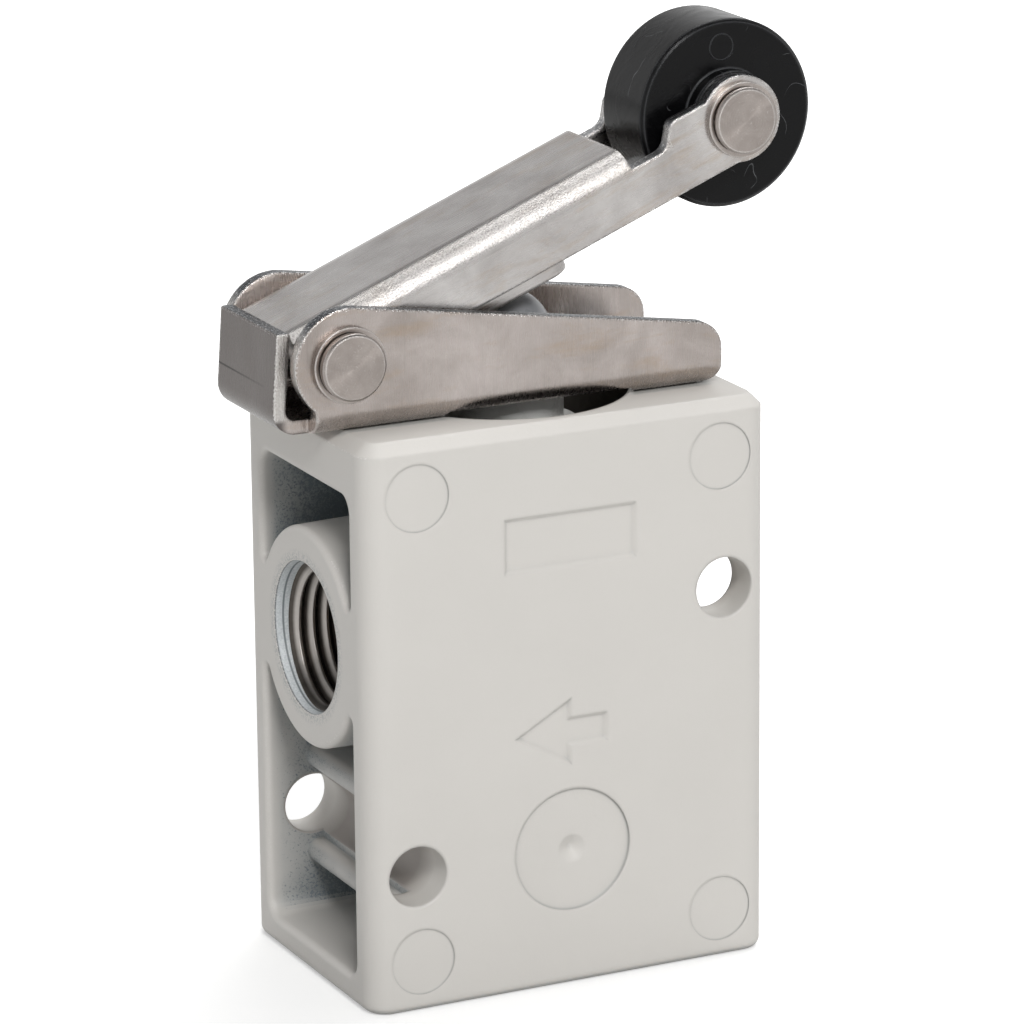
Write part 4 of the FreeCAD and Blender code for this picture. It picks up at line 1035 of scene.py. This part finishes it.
def port_thread(name, port_z, inwards):
    """Helical ridge in one port. inwards is +1 for the left port and -1 for the right one."""
    turns = (thread_end - thread_start) / thread_pitch
    rings = []
    for step in range(int(turns * steps_per_turn) + 1):
        turn = step / steps_per_turn
        angle = math.pi + 2 * math.pi * turn * inwards
        share = max(thinnest, min(1.0, turn / fade_turns, (turns - turn) / fade_turns))
        ring = []
        for across, radius in ridge_profile(share):
            depth = thread_start + (turn + across * ridge_share) * thread_pitch
            x = (depth - half_width) * inwards
            ring.append((x, radius * math.cos(angle), port_z + radius * math.sin(angle)))
        rings.append(ring)
    piece = swept(name, rings)
    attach(piece, "valve")
    print(name, "turns", round(turns, 2), "faces", len(piece.data.polygons))
    return piece


# %% [markdown]
# The thread is cut after painting, so it is bare zinc alloy. Its crests get a painted highlight and
# its valleys painted shade, so the tone goes with the distance from the axis.

# %% Cut threads
bright_up_to = thread_crest + 0.3 * MM  # radius, and beyond the next one the thread is dark
dark_from = thread_crest + 0.62 * MM
cut_clouds = 0.8 * MM


def cut_metal_thread(name, port_z):
    """Bare cut zinc with a painted highlight on the crests and painted shade in the valleys."""
    material, tree, shader, place = new_finish(name, Metallic=1.0)
    spot = place.outputs["Object"]
    _, y, z = add_node(tree, "ShaderNodeSeparateXYZ", {"Vector": spot}).outputs
    rise = add_node(tree, "ShaderNodeMath", {0: z, 1: port_z}, operation="SUBTRACT").outputs[0]
    radius = distance_across(tree, y, rise, "YZ")
    painted_crest_highlight = add_node(tree, "ShaderNodeMapRange", {
        "Value": radius, "From Min": bright_up_to, "From Max": dark_from,
        "To Min": 1.0, "To Max": 0.0}).outputs[0]
    clouds = add_node(tree, "ShaderNodeTexNoise", {
        "Vector": spot, "Scale": 1 / cut_clouds, "Detail": 4.0}).outputs["Fac"]
    crest_highlight_tone = mottled(tree, clouds, "A09B96", "BFBAB5")
    colour = coats(tree, mottled(tree, clouds, "423D39", "5E5954"), (painted_crest_highlight, crest_highlight_tone))
    link(tree, colour, shader, "Base Color")
    rough = add_node(tree, "ShaderNodeMapRange", {
        "Value": clouds, "To Min": 0.34, "To Max": 0.52}).outputs[0]
    link(tree, rough, shader, "Roughness")
    return material


for name, port_z, inwards in (("outlet_thread", outlet_z, 1), ("inlet_thread", inlet_z, -1)):
    thread = port_thread(name, port_z, inwards)
    thread.data.materials.append(cut_metal_thread("cut_" + name, port_z))

# %% [markdown]
# ## Moulding mark of the roller
# The near face of the roller shows a small ring where the plastic was injected. A bump in the
# finish could draw it, but only a real ring catches the light at its true height. It is a low
# round bead, half sunk in the face.

# %% Gate mark
gate_offset = Vector((-0.5, -3.75, 5.95)) * MM   # from the roller's middle to its near face
gate_radius = 1.15 * MM
gate_bead = 0.09 * MM                   # half its width, and twice its height
gate_segments = 48
gate_sides = 6


def round_bead(name, centre):
    """Low ring lying on a face that looks along -Y."""
    raised = Vector((0.0, -gate_bead / 2, 0.0))
    rings = []
    for segment in range(gate_segments):
        angle = 2 * math.pi * segment / gate_segments
        outward = Vector((math.cos(angle), 0.0, math.sin(angle)))
        middle = centre + outward * gate_radius
        rings.append(ring_of_points(middle, outward * gate_bead, raised, gate_sides))
    return swept(name, rings, closed=True)


gate_centre = roller_axis + gate_offset
gate_mark = round_bead("roller_gate_mark", gate_centre)
gate_mark.data.materials.append(roller_finish)
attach(gate_mark, "roller_wheel")
print("gate mark at", [round(c, 4) for c in gate_centre])

# %% [markdown]
# ## Springs
# Two wound springs sit inside the body, one under the plunger and one under the poppet. A spring
# can't ride on one body, because its foot stands still while its top follows the moving part. Here
# each is wound as a mesh, with the same wire, turns and ends as the solid it stands for, and rides
# on the valve body.

# %% Wound springs
wire_radius = 0.35 * MM
spring_turns = 4.5
wire_sides = 10
winding_steps = 40                      # rings of points in one turn


def wound_spring(name, node):
    """Compression spring in the place of a node."""
    low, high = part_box(node)
    centre_radius = high.x - wire_radius
    climb = high.z - low.z - 2 * wire_radius
    steps = int(spring_turns * winding_steps)
    upward = Vector((0.0, 0.0, 1.0))
    rings = []
    for step in range(steps + 1):
        angle = 2 * math.pi * step / winding_steps
        outward = Vector((math.cos(angle), math.sin(angle), 0.0))
        centre = outward * centre_radius + upward * (low.z + wire_radius + climb * step / steps)
        rings.append(ring_of_points(centre, outward * wire_radius, upward * wire_radius, wire_sides))
    spring = swept(name, rings)
    spring.data.materials.append(spring_finish)
    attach(spring, "valve")
    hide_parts(node)
    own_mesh(spring)


wound_spring("plunger_coil", "plunger_spring")
wound_spring("poppet_coil", "poppet_spring")
